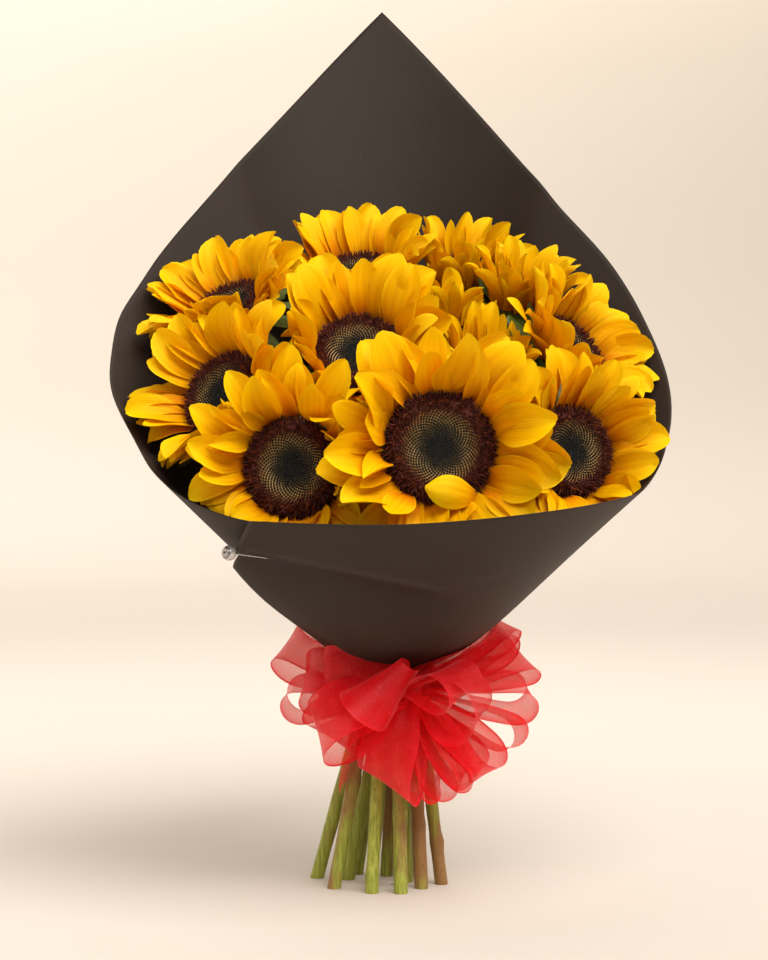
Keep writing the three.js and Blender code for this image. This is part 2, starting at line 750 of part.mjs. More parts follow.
addSolid('paper_wrap', sheet.subtract(groove), FINISH.paper);
addSolid('pin_head', makePinHead(), FINISH.bead);
addSolid('pin_shaft', shaft, FINISH.steel);
addSolid('ribbon_band', makeBand(), FINISH.ribbon);
addSolid('bow', makeBow(), FINISH.ribbon);
flowers.forEach((flower, index) => {
  const number = String(index + 1).padStart(2, '0');
  addSolid(`stem_${number}`, makeStem(flower, index), FINISH.stem);
  addSolid(`petals_${number}`, makePetals(flower, index), FINISH.petal);
  addSolid(`disc_${number}`, makeDisc(flower), FINISH.disc);
});
// The origin is under the middle of the bunch's own box.
const middle = new THREE.Box3().setFromObject(model, true).getCenter(new THREE.Vector3());
model.position.set(-middle.x, -middle.y, 0);

export default model;
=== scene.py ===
# %% [markdown]
# # A bunch of sunflowers in dark paper
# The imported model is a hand-tied bunch that stands on its cut stems: twelve flowers, a cone of
# dark paper, a pin and a ribbon. Its solids have the right sizes and places, but few faces.
# This lesson dresses them. Every new piece is worked out with numpy as a surface of two
# parameters, so that a whole flower is a handful of array sums, and then put into a mesh.

import bpy
import numpy as np
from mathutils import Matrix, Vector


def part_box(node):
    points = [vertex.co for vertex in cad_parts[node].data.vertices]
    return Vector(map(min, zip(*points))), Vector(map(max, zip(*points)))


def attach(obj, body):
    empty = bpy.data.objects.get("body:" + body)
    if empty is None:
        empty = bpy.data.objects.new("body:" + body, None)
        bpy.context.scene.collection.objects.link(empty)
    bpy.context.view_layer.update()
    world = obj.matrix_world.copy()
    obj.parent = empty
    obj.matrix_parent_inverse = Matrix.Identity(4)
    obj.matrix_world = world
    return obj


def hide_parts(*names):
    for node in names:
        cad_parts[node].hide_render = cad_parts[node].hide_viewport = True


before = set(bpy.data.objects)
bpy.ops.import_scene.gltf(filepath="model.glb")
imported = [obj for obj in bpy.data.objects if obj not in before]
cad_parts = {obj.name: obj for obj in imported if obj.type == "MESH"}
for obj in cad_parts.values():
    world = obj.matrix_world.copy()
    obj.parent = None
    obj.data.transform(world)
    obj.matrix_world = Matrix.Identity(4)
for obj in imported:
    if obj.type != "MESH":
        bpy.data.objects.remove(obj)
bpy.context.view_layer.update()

# %% [markdown]
# ## Where things are
# The bunch is easiest to describe round the axis of its neck, where the ribbon ties it, and in
# millimetres. So every function below works in millimetres from the point of the floor under
# the tie, and one function turns its points into Blender's metres. Angles round the neck are in
# degrees: 0 is the back, 90 the right and 180 the front.

# %% The neck's axis
MM = 0.001
tie_low, tie_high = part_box("ribbon_band")
NECK = np.array([(tie_low.x + tie_high.x) / 2, (tie_low.y + tie_high.y) / 2, 0.0]) / MM
TIE_HEIGHT = (tie_low.z + tie_high.z) / 2 / MM
print("neck axis at", NECK.round(2), "tied at", round(TIE_HEIGHT, 1))


def in_metres(points):
    """Points in millimetres from the neck's axis, as metres in the model's own frame."""
    return (np.asarray(points, float) + NECK) * MM


# %% [markdown]
# ## The camera
# The photograph was taken from the front with a long lens, level, a little above the middle of
# the stems. A camera that looks straight along +Y keeps the upright lines upright.

# %% The camera
PHOTO = (768, 960)
FOCAL_PIXELS = 2088  # the lens's focal length, in pixels of the photograph
NECK_COLUMN = 394  # the pixel column of the neck's axis
CAMERA_DISTANCE = 1300
CAMERA_HEIGHT = 250
SENSOR = 36

lens = bpy.data.cameras.new("camera")
lens.sensor_width = SENSOR
lens.lens = FOCAL_PIXELS / PHOTO[1] * SENSOR
lens.clip_end = 60
camera = bpy.data.objects.new("camera", lens)
camera_side = (NECK_COLUMN - PHOTO[0] / 2) * CAMERA_DISTANCE / FOCAL_PIXELS
camera.location = in_metres([-camera_side, -CAMERA_DISTANCE, CAMERA_HEIGHT])
camera.rotation_euler = (np.pi / 2, 0, 0)
bpy.context.scene.collection.objects.link(camera)
bpy.context.scene.camera = camera
print("lens", round(lens.lens, 1), "mm")

# %% [markdown]
# ## From arrays to meshes
# Most pieces here are grids of points: rows along a thing and columns across it. The helpers
# below join a grid into faces, put arrays into a Blender mesh in one go, and add what the
# materials read: a UV map and numbers on the points.

# %% Small mathematics
GOLDEN = 0.6180339887
TAU = 2 * np.pi


def ease(low, high, value):
    """A smooth step: 0 up to low, 1 from high on, and 3t^2 - 2t^3 between them."""
    t = np.clip((value - low) / (high - low), 0, 1)
    return t * t * (3 - 2 * t)


def mix(a, b, share):
    return a + (b - a) * share


def unit(vectors):
    """Each vector divided by its own length."""
    return vectors / np.linalg.norm(vectors, axis=-1, keepdims=True)


def scatter(index, channel):
    """An even scatter from -0.5 to 0.5: the fractions of multiples of the golden number."""
    value = (np.asarray(index) * 7 + channel * 13 + 1) * GOLDEN
    return value - np.floor(value) - 0.5


def speckle(index, channel):
    """A rough scatter from -0.5 to 0.5, from the far digits of a sine. Unlike the one above, it
    makes no pattern on things that are themselves set out by the golden number."""
    value = np.sin(np.asarray(index) * 12.9898 + channel * 78.233) * 43758.5453
    return value - np.floor(value) - 0.5


def through(points, x):
    """A smooth curve through (x, y) points: a cubic on each stretch, with the mean slopes."""
    px, py = np.array(points, float).T
    slope = np.gradient(py, px)
    i = np.clip(np.searchsorted(px, x) - 1, 0, len(px) - 2)
    step = px[i + 1] - px[i]
    t = np.clip((x - px[i]) / step, 0, 1)
    start = (1 + 2 * t) * (1 - t) ** 2 * py[i] + t * (1 - t) ** 2 * step * slope[i]
    end = t * t * (3 - 2 * t) * py[i + 1] + t * t * (t - 1) * step * slope[i + 1]
    return start + end


print("a smooth step, halfway:", float(ease(0, 1, 0.5)))

# %% Grids and rings
def grid_faces(rows, columns):
    """The quads of a grid whose points are counted row by row."""
    at = np.arange(rows * columns).reshape(rows, columns)
    corners = [at[:-1, :-1], at[:-1, 1:], at[1:, 1:], at[1:, :-1]]
    return np.stack(corners, -1).reshape(-1, 4)


def tube_faces(rows, ring):
    """The quads of a skin over closed rings, and the two faces that close its ends."""
    at = np.arange(rows * ring).reshape(rows, ring)
    turned = np.roll(at, -1, axis=1)
    corners = [at[:-1], turned[:-1], turned[1:], at[1:]]
    sides = np.stack(corners, -1).reshape(-1, 4)
    return [sides, at[:1, ::-1], at[-1:]]


def repeated(groups, count, size):
    """The same faces for each of `count` copies of a shape that has `size` points."""
    shift = (np.arange(count) * size)[:, None, None]
    return [(g[None] + shift).reshape(-1, g.shape[1]) for g in groups]


def joined(meshes):
    """Meshes (points, groups of faces, values of the points ...) as one such mesh."""
    offsets = np.cumsum([0] + [len(mesh[0]) for mesh in meshes])
    groups = [g + offset for mesh, offset in zip(meshes, offsets) for g in mesh[1]]
    values = [np.concatenate(parts) for parts in list(zip(*meshes))[2:]]
    return np.concatenate([mesh[0] for mesh in meshes]), groups, *values


print("a grid of 3 rows and 4 columns has", len(grid_faces(3, 4)), "faces")

# %% Meshes
def make_piece(name, points, groups, finish, uv=None, values=None, sharp=None):
    """A mesh from points (n, 3) in millimetres and groups of faces (m, k). uv is (n, 2), values
    are named numbers on the points, and edges over `sharp` degrees are shaded as edges."""
    loops = np.concatenate([g.ravel() for g in groups]).astype(np.int32)
    sizes = np.concatenate([np.full(len(g), g.shape[1]) for g in groups])
    starts = np.concatenate([[0], np.cumsum(sizes)[:-1]]).astype(np.int32)
    mesh = bpy.data.meshes.new(name)
    mesh.vertices.add(len(points))
    mesh.vertices.foreach_set("co", in_metres(points).astype(np.float32).ravel())
    mesh.loops.add(len(loops))
    mesh.loops.foreach_set("vertex_index", loops)
    mesh.polygons.add(len(sizes))
    mesh.polygons.foreach_set("loop_start", starts)
    mesh.update(calc_edges=True)
    if uv is not None:
        layer = mesh.uv_layers.new(name="UVMap")
        layer.data.foreach_set("uv", np.asarray(uv, np.float32)[loops].ravel())
    for key, numbers in (values or {}).items():
        layer = mesh.attributes.new(key, "FLOAT", "POINT")
        layer.data.foreach_set("value", np.asarray(numbers, np.float32).ravel())
    mesh.shade_smooth()
    if sharp is not None:
        mesh.set_sharp_from_angle(angle=np.radians(sharp))
    mesh.materials.append(finish)
    piece = bpy.data.objects.new(name, mesh)
    bpy.context.scene.collection.objects.link(piece)
    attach(piece, "root")
    print(name, len(points), "points,", int((sizes - 2).sum()), "triangles")
    return piece


# %% [markdown]
# ## Materials as sums
# A shader is a sum over what its nodes read. The small class here wraps a node's output, so
# that `1 - mask * 0.3` in Python adds the Math nodes for it. Any other node comes from one
# method that takes its type, its settings and what goes into it.

# %% Shader sums
class Wire:
    """The output of a node. Sums with numbers and other wires add Math nodes."""

    def __init__(self, finish, socket):
        self.finish, self.socket = finish, socket

    def maths(self, operation, *parts):
        return self.finish.node("ShaderNodeMath", {"operation": operation}, *parts)

    def __add__(self, other):
        return self.maths("ADD", self, other)

    def __radd__(self, other):
        return self.maths("ADD", other, self)

    def __sub__(self, other):
        return self.maths("SUBTRACT", self, other)

    def __rsub__(self, other):
        return self.maths("SUBTRACT", other, self)

    def __mul__(self, other):
        return self.maths("MULTIPLY", self, other)

    def __rmul__(self, other):
        return self.maths("MULTIPLY", other, self)

    def __pow__(self, other):
        return self.maths("POWER", self, other)

    def wave(self):
        return self.maths("SINE", self)

    def size(self):
        return self.maths("ABSOLUTE", self)

    def step(self, low, high):
        """A smooth step of this wire, from 0 at low to 1 at high."""
        settings = {"interpolation_type": "SMOOTHSTEP"}
        return self.finish.node("ShaderNodeMapRange", settings, self, low, high, 0.0, 1.0)


class Finish:
    """A material with one Principled shader, built by the methods below."""

    def __init__(self, name, **sockets):
        self.material = bpy.data.materials.new(name)
        self.material.use_nodes = True
        self.tree = self.material.node_tree
        self.tree.nodes.clear()
        self.shader = self.tree.nodes.new("ShaderNodeBsdfPrincipled")
        self.out = self.tree.nodes.new("ShaderNodeOutputMaterial")
        self.tree.links.new(self.shader.outputs[0], self.out.inputs[0])
        self.set(**sockets)

    def feed(self, socket, value):
        if isinstance(value, Wire):
            self.tree.links.new(value.socket, socket)
        else:
            socket.default_value = value

    def set(self, **sockets):
        """Puts values or wires on the shader's sockets: Base_Color is its Base Color."""
        for name, value in sockets.items():
            self.feed(self.shader.inputs[name.replace("_", " ")], value)

    def node(self, kind, settings=None, *parts, out=0, **sockets):
        """A node of this type. Its settings come first, then its inputs by place or by name."""
        node = self.tree.nodes.new(kind)
        for name, value in (settings or {}).items():
            if name == "stops":
                self.set_stops(node.color_ramp, value)
            else:
                setattr(node, name, value)
        for place, value in enumerate(parts):
            self.feed(node.inputs[place], value)
        for name, value in sockets.items():
            self.feed(node.inputs[name.replace("_", " ")], value)
        return Wire(self, node.outputs[out])

    def set_stops(self, ramp, stops):
        while len(ramp.elements) < len(stops):
            ramp.elements.new(0.5)
        for element, (place, shade) in zip(ramp.elements, stops):
            element.position = place
            element.color = colour(*shade)

    def ramp(self, wire, *stops):
        """The colour at this number on a ramp of (place, screen colour) stops."""
        return self.node("ShaderNodeValToRGB", {"stops": stops}, wire)

    def coats(self, body, *coats):
        """Coats of (factor, screen colour) over a body, from the lowest up. The body is a wire
        or a screen colour too."""
        for factor, coat in coats:
            node = self.tree.nodes.new("ShaderNodeMix")
            node.data_type = "RGBA"
            for place, value in ((0, factor), (6, body), (7, coat)):
                plain = isinstance(value, (Wire, float, int))
                self.feed(node.inputs[place], value if plain else colour(*value))
            body = Wire(self, node.outputs[2])
        return body

    def number(self, name):
        """A number kept on the mesh's points."""
        return self.node("ShaderNodeAttribute", {"attribute_name": name}, out=2)

    def place(self, scale=(1, 1, 1)):
        """The object's own coordinates in metres, times a scale for each axis."""
        where = self.node("ShaderNodeTexCoord", out=3)
        return self.node("ShaderNodeMapping", None, Vector=where, Scale=scale)

    def noise(self, where, scale, detail=3.0, roughness=0.55):
        sockets = {"Vector": where, "Scale": scale, "Detail": detail, "Roughness": roughness}
        return self.node("ShaderNodeTexNoise", None, **sockets)

    def map_parts(self):
        """The two numbers of the UV map: across and along."""
        where = self.node("ShaderNodeUVMap", {"uv_map": "UVMap"})
        parts = self.tree.nodes.new("ShaderNodeSeparateXYZ")
        self.feed(parts.inputs[0], where)
        return Wire(self, parts.outputs[0]), Wire(self, parts.outputs[1])

    def bump(self, height, strength, distance):
        sockets = {"Height": height, "Strength": strength, "Distance": distance}
        self.set(Normal=self.node("ShaderNodeBump", None, **sockets))


def colour(red, green, blue):
    """A screen colour from 0 to 255 as the linear numbers that shaders use, and 1 for alpha."""
    share = np.array([red, green, blue]) / 255
    linear = np.where(share <= 0.04045, share / 12.92, ((share + 0.055) / 1.055) ** 2.4)
    return *(float(x) for x in linear), 1.0


# %% [markdown]
# ## The paper's form
# The wrap is one stiff square sheet, rolled corner up into a cone and lapped at the front. A
# simulation would give small random folds, but stiff paper takes a smooth form, so a formula is
# better: the radius of the cone at each angle and height, and the height of the rim at each
# angle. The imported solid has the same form, apart from a dent low on the left. The grid here is
# far finer.

# %% The cone
PAPER_BOTTOM = 119
PAPER_NECK = 134.5  # the cone opens from this height
NECK_RADIUS = 22
FLARE = (8, 18)  # how far the cone spreads at once above the neck, left and right
FLARE_RISE = 10
LAP_STEP = 2.2  # how far the lap lies outside the sheet under it
PAPER_START = -178
PAPER_END = 210.2
CORNER_SIDE = -7.7
CORNER_HEIGHT = 575.7
CORNER_FALL = (1.04, 1.02)  # how fast the two straight edges fall, left and right
CORNER_BEND = (0.0022, 0.0021)  # and how much faster with each millimetre, as the sheet curls
STRAIGHT = (-55, 60)  # the straight edges lie between these angles

RIM = [
    (-178, 220), (-160, 224), (-145, 228.7), (-133, 238.6), (-121, 254), (-110.5, 276),
    (-104.5, 301), (-96.5, 329), (-90.5, 352), (-84.5, 372), (-78, 395), (-70.5, 419), (-55, 459),
    (60, 433), (73, 390), (79, 368), (85, 345), (92.5, 318), (102, 286.5), (107, 272), (112, 261),
    (121, 246.5), (133, 241), (145, 236), (153, 232.7), (166, 228.4), (180, 225.7), (195, 226),
    (210.2, 227),
]
# The lap's free side: its lower edge, as (height, angle), up to the sheet's sharp lower corner,
# and from there a straight short edge to the rim.
LOWER_EDGE = [(119, 256), (131, 254), (146, 249), (163, 240), (181, 234), (199, 229.5)]
SHORT_EDGE = [(199, 229.5), (206, 223), (213, 217.9), (220, 213.7), (227, 210.2)]


def lap_end(height):
    """The angle where the sheet ends at a height."""
    short = np.interp(height, *np.array(SHORT_EDGE).T)
    return np.where(height < SHORT_EDGE[0][0], through(LOWER_EDGE, height), short)


def paper_form(angle):
    """The cone's slope, its quick spread above the neck, and how far the lap lies outside."""
    right = ease(-60, 20, angle)
    away = np.abs(angle)
    slope_right = 0.26 + 1.18 * ease(50, 152, away) - 0.16 * ease(180, 211, angle)
    slope_left = 0.29 + 1.1 * ease(52, 154, away)
    slope = mix(slope_left, slope_right, right)
    return slope, mix(*FLARE, right), LAP_STEP * ease(120, 180, angle)


def paper_radius(angle, height):
    """Neck radius, plus a spread that settles within 10 mm, plus slope times rise, plus lap, less
    a dent where the lap is pulled in low on the left."""
    slope, flare, lap = paper_form(angle)
    rise = np.maximum(height - PAPER_NECK, 0)
    spread = 1 - np.exp(-rise / FLARE_RISE)
    dent = 11 * spread * ease(205, 236, angle) * np.exp(-(((rise - 14) / 24) ** 2))
    return NECK_RADIUS + flare * spread + slope * rise + lap - dent


def straight_height(angle):
    """The height where the two straight edges, which fall from the corner, meet the cone."""
    height = np.full(np.shape(angle), float(CORNER_HEIGHT))
    for _ in range(40):
        side = paper_radius(angle, height) * np.sin(np.radians(angle)) - CORNER_SIDE
        fall = np.where(side < 0, CORNER_FALL[0], CORNER_FALL[1])
        bend = np.where(side < 0, CORNER_BEND[0], CORNER_BEND[1])
        side = np.abs(side)
        height = mix(height, CORNER_HEIGHT - fall * side - bend * side * side, 0.6)
    return height


def rim_height(angle):
    """The straight edges, and beyond them a smooth curve through the rim's points. The curve
    also goes through two points of each straight edge, so that it runs on without a kink."""
    low, high = STRAIGHT
    joints = [low, low + 6, low + 12, high - 12, high - 6, high]
    knots = [p for p in RIM if not low - 4 < p[0] < high + 4]
    knots += list(zip(joints, straight_height(np.array(joints, float))))
    curve = through(sorted(knots), angle)
    straight = (angle > low + 6) & (angle < high - 6)
    return np.where(straight, straight_height(angle), curve)


print("rim at the front, mm:", rim_height(np.array([180.0])).round(1))

# %% [markdown]
# ## The paper's surface
# Real paper is never quite even. It has long shallow waves, it is gathered into small pleats at
# the tie, and here the pin pulls a crease across the front: a ridge that runs from the bead and
# fades, with the paper below it fallen back a little. A short second fold crosses its far end,
# and the paper is tucked up round the needle. All of them are added to the radius.

# %% Waves, pleats and the crease of the pin
# The crease and the short fold across its far end, as (angle, height).
CREASE = [
    (160, 183), (166, 185.5), (178, 191.1), (190, 197), (202, 202.4), (214, 207.6), (226, 212.5),
]
SECOND_FOLD = [(148, 197), (160, 193), (171, 187)]
NEEDLE = (214.5, 206.5, 0.3)  # the needle's line: an angle, its height there, its rise a degree
TUCK_ANGLE = 211.6  # the paper is tucked up round the needle here
PLEATS = (17, 29)  # coarse and fine ones round the tie


def bell(distance, width):
    """1 at distance 0, and falling off smoothly over the width."""
    return np.exp(-((distance / width) ** 2))


def along_line(line, angle):
    """The height of a line of (angle, height) points, kept level beyond its ends."""
    return through(line, np.clip(angle, line[0][0], line[-1][0]))


def crease(angle, height):
    """How far a height lies over the crease's line, and how strong the crease is there."""
    over = height - along_line(CREASE, angle)
    return over, ease(160, 176, angle) * (1 - ease(215, 227, angle))


def relief(angle, height):
    """How far the sheet stands off its plain form, in millimetres."""
    turn = np.radians(angle)
    free = ease(PAPER_NECK + 10, PAPER_NECK + 80, height)
    waves = 0.9 * np.sin(3 * turn + height / 55 + 1.0) + 0.5 * np.sin(5 * turn - height / 38)
    pleats = 0.75 * np.sin(PLEATS[0] * turn + 1.3 * np.sin(3 * turn)) + 0.5 * np.sin(PLEATS[1] * turn)
    over, near = crease(angle, height)
    ridge = 3.2 * bell(np.maximum(over, 0), 24) * ease(-3, 0.5, over)
    fallen = -3.4 * ease(0, -5, over) * bell(np.minimum(over + 5, 0), 24)
    above = height - along_line(SECOND_FOLD, angle)
    fold = 1.8 * ease(-3, 1, above) * bell(np.maximum(above, 0), 10)
    fold *= ease(174, 167, angle) * ease(148, 160, angle)
    needle = NEEDLE[1] + NEEDLE[2] * (angle - NEEDLE[0])
    tuck = 2.2 * bell(angle - TUCK_ANGLE, 2.4) * bell(height - needle - 0.4, 2.4)
    at_tie = bell(height - TIE_HEIGHT, 16)
    return waves * free + pleats * at_tie + near * (ridge + fallen) + fold + tuck


# The paper's colour also carries painted shade and painted light, laid out by the same angles and heights.
def wear(angle, height):
    """Painted shade where this is above 0 and painted light where it is below 0: painted shade
    just under the crease, fading away down the sheet, a painted highlight on its ridge, painted
    shade on the panel that stands up behind the flowers, and painted light on the front's right
    side. The lap casts a painted shadow on the sheet beside it, and its cut edge has a painted
    highlight."""
    over, near = crease(angle, height)
    below = np.minimum(over, 0)
    under = ease(0.3, -1.2, over) * (0.75 * np.exp(below / 5) + 0.35 * np.exp(below / 16))
    ridge = 0.22 * bell(over - 1.6, 1.6)
    panel = 0.6 * ease(112, 66, np.abs(angle))
    lit_right_side = 0.55 * ease(168, 122, angle) * ease(96, 112, angle) * ease(262, 232, height)
    beyond = angle + 360 - lap_end(height)
    shade = 0.6 * np.exp(-np.maximum(beyond, 0) / 4) * (angle < -100)
    cut_edge_light = 0.5 * bell(lap_end(height) - angle, 0.6) * (angle > 150)
    return near * (under - ridge) + panel - lit_right_side + shade - cut_edge_light


def wrap_point(angle, height):
    """The point of the sheet's outer face at an angle and a height."""
    radius = paper_radius(angle, height) + relief(angle, height)
    turn = np.radians(angle)
    return np.stack([radius * np.sin(turn), radius * np.cos(turn), height], -1)


def wrap_grid(columns, rows):
    """Angles and heights of the sheet's grid. Its columns lean with the lap's free edge."""
    corner = 0.0
    for _ in range(20):
        corner = np.degrees(np.arcsin(CORNER_SIDE / paper_radius(corner, CORNER_HEIGHT)))
    left = np.linspace(PAPER_START, corner, columns // 2)
    rim = np.concatenate([left, np.linspace(corner, PAPER_END, columns // 2)[1:]])
    share = np.linspace(0, 1, rows)[:, None]
    height = mix(PAPER_BOTTOM, rim_height(rim)[None], share**1.25)
    turn = (rim - PAPER_START) / (PAPER_END - PAPER_START)
    angle = mix(PAPER_START, lap_end(height), turn[None])
    return angle, height


print("the crease runs from", CREASE[-1][0], "to", CREASE[0][0], "degrees")

# %% The paper's finish
def paper_finish():
    """Dark warm charcoal with a soft, uneven tone, fine fibres and a dull sheen, with painted shade
    and painted light from a number on its points.
    """
    finish = Finish("charcoal_paper", Specular_IOR_Level=0.16)
    where = finish.place()
    cloudy = finish.noise(where, 14.0, 4.0)
    fibres = finish.noise(finish.place((1, 1, 0.35)), 900.0, 2.0)
    specks = finish.noise(where, 420.0, 1.0).step(0.74, 0.8)
    painted_light_shade = finish.number("wear")
    tone = finish.coats(
        finish.ramp(cloudy, (0.3, (51, 42, 35)), (0.7, (58, 49, 42))),
        (fibres.step(0.45, 0.75) * 0.25, (66, 58, 52)), (specks * 0.3, (92, 84, 78)),
        # Painted shade where the number is above 0, painted light where it is below 0.
        (painted_light_shade * 0.62, (14, 10, 9)), (painted_light_shade * -0.5, (112, 102, 94)),
    )
    finish.set(Base_Color=tone, Roughness=0.6 + 0.16 * cloudy)
    finish.bump(fibres * 0.5 + cloudy * 0.5, 0.25, 0.0004)
    return finish.material


# %% The wrap
PAPER_THICKNESS = 0.35
wrap_angle, wrap_height = wrap_grid(260, 104)
wrap_points = wrap_point(wrap_angle, wrap_height)
wrap_rows, wrap_columns = wrap_angle.shape
paper = paper_finish()
wrap = make_piece(
    "wrap", wrap_points.reshape(-1, 3), [grid_faces(wrap_rows, wrap_columns)[:, ::-1]], paper,
    # The paper's painted shade and painted light, as a number on its points.
    values={"wear": wear(wrap_angle, wrap_height)},
)
shell = wrap.modifiers.new("thickness", "SOLIDIFY")
shell.thickness = PAPER_THICKNESS * MM
shell.offset = -1
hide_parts("paper_wrap")

# %% [markdown]
# ## The flowers' frames
# Each flower has a frame of its own: the middle of its disc's rim, the way it faces, and two
# directions across. Petals, florets and bracts are all placed by a height along the axis, a
# radius and a turn. The heads press on each other, so a flat wall stands between each two of
# them, halfway between the nearest points of their bodies.

# %% Twelve flowers
STEM_RADIUS = 4.2
HEAD_DEPTH = 24

# The middle of the disc's rim, where it faces (degrees to the right of the front, degrees up),
# the disc's radius, the petals' length, how far they open, the stem's place in the neck and its
# cut end on the floor.
FLOWERS = [
    ((25, -122, 268), (3, 5), 31.5, 43, 86, (170, 14.2), (4, -38)),
    ((-58, -100, 257), (-12, 2), 29, 41, 84, (210, 14.2), (-14, -37)),
    ((-100, -56, 300), (-36, 24), 27.5, 37, 82, (250, 14.2), (-38, -22)),
    ((-101, 2, 355), (-34, 50), 25, 36, 78, (290, 14.8), (-50, 14)),
    ((-22, -48, 325), (-5, 34), 27.5, 42, 80, (200, 6.2), (-15, -8)),
    ((-22, 44, 379), (-6, 56), 25, 39, 74, (330, 14.2), (-24, 27)),
    ((102, -74, 266), (26, 8), 27, 36, 80, (130, 14.2), (17, -22)),
    ((106, -13, 328), (46, 36), 25, 36, 78, (90, 14.2), (30, -8)),
    ((55, -42, 314), (12, 56), 18, 34, 58, (80, 5.3), (8, 0)),
    ((44, 60, 383), (4, 64), 20, 34, 62, (10, 15.4), (-5, 20)),
    ((33, 7, 346), (150, 82), 17, 32, 64, (328, 6.5), (-30, 8)),
    ((80, 23, 364), (14, 62), 18, 32, 62, (50, 14.9), (14, 16)),
]


class Flower:
    """A flower's frame and measures, and the walls that its petals keep behind."""

    def __init__(self, index, at, face, disc, petal, opening, neck, foot):
        self.index, self.disc, self.petal, self.opening = index, disc, petal, opening
        self.neck, self.foot = neck, foot
        self.name = f"{index + 1:02d}"
        self.centre = np.array(at, float)
        side, up = np.radians(face)
        self.axis = np.array([np.sin(side) * np.cos(up), -np.cos(side) * np.cos(up), np.sin(up)])
        self.across = unit(np.cross([0, 0, 1], self.axis))
        self.over = np.cross(self.axis, self.across)
        self.walls = []

    def place(self, height, radius, turn):
        """Centre + height along the axis + radius along the turned direction across it."""
        height, radius, turn = np.broadcast_arrays(height, radius, turn)
        out = np.cos(turn)[..., None] * self.across + np.sin(turn)[..., None] * self.over
        return self.centre + height[..., None] * self.axis + radius[..., None] * out

    def furthest(self, way):
        """The point of the head's body that lies furthest along a direction."""
        flat = unit(way - way @ self.axis * self.axis)
        sizes = np.array([(7, self.disc * 0.8), (0, self.disc + 4), (-12, self.disc * 0.6),
                          (-HEAD_DEPTH, STEM_RADIUS + 1)])
        reach = self.centre + sizes[:, :1] * self.axis + sizes[:, 1:] * flat
        return reach[np.argmax(reach @ way)]


flowers = [Flower(index, *row) for index, row in enumerate(FLOWERS)]


def nearest_pair(first, second):
    """The nearest points of two heads: the line between two guesses is shortened again and
    again towards the points that lie furthest along it."""
    here, there = first.centre.copy(), second.centre.copy()
    for _ in range(60):
        line = here - there
        mine, theirs = first.furthest(-line), second.furthest(line)
        change = mine - theirs - line
        share = np.clip(-(line @ change) / (change @ change), 0, 1)
        here, there = mix(here, mine, share), mix(there, theirs, share)
    return here, there


for i, first in enumerate(flowers):
    for second in flowers[i + 1:]:
        here, there = nearest_pair(first, second)
        normal, middle = unit(here - there), (here + there) / 2
        first.walls.append((normal, middle @ normal))
        second.walls.append((-normal, -middle @ normal))
print(len(flowers), "flowers,", len(flowers[0].walls), "walls each")

# %% [markdown]
# ## The stems' routes
# A stem runs straight up from its cut end to the tie and then bends over to the back of its
# head. The straight stretch and a cubic curve are sampled and smoothed together.

# %% Routes
def stem_route(flower, lower=22, upper=40):
    """Points from the cut end to inside the head: a line, and a cubic curve from the tie."""
    angle, radius = np.radians(flower.neck[0]), flower.neck[1]
    foot = np.array([*flower.foot, -6.0])
    neck = np.array([radius * np.sin(angle), radius * np.cos(angle), TIE_HEIGHT])
    joint = flower.centre - HEAD_DEPTH * flower.axis
    reach = np.linalg.norm(joint - neck)
    leave = 0.4 * unit(neck - foot) + 0.6 * unit(joint - neck)
    bend = joint - flower.axis * reach * (0.26 - 0.17 * flower.axis[2])
    t = np.linspace(0, 1, upper)[1:, None]
    start = neck + leave * reach * 0.4
    curve = (1 - t) ** 3 * neck + 3 * t * (1 - t) ** 2 * start + 3 * t * t * (1 - t) * bend + t**3 * joint
    line = foot + (neck - foot) * np.linspace(0, 1, lower)[:, None]
    points = np.concatenate([line, curve, [joint + flower.axis * HEAD_DEPTH * 0.5]])
    for _ in range(3):
        points[1:-1] = (points[:-2] + 2 * points[1:-1] + points[2:]) / 4
    return points


for flower in flowers:
    flower.route = stem_route(flower)

# %% [markdown]
# ## One blade for petals and bracts
# A petal and a bract are the same kind of thing: a blade with a narrow claw, a broad middle and
# a pointed tip, whose middle line bends away from the flower's axis. The blade is a function of
# t along it and v across it. It works on all the petals of a flower at once, because each
# number of a blade may be an array with a petal on its first axis.

# %% The blade
BLADE_ROWS = 14
BROAD = 0.5  # where along it a blade has its full width


def blade_width(t, claw, tip=2.8):
    """From the claw up to 1 by a smooth step, and down to 0 at the tip by a power."""
    falling = np.clip((t - BROAD) / (1 - BROAD), 0, 1)
    return (claw + (1 - claw) * ease(0, BROAD, t)) * (1 - falling**tip) ** 0.8


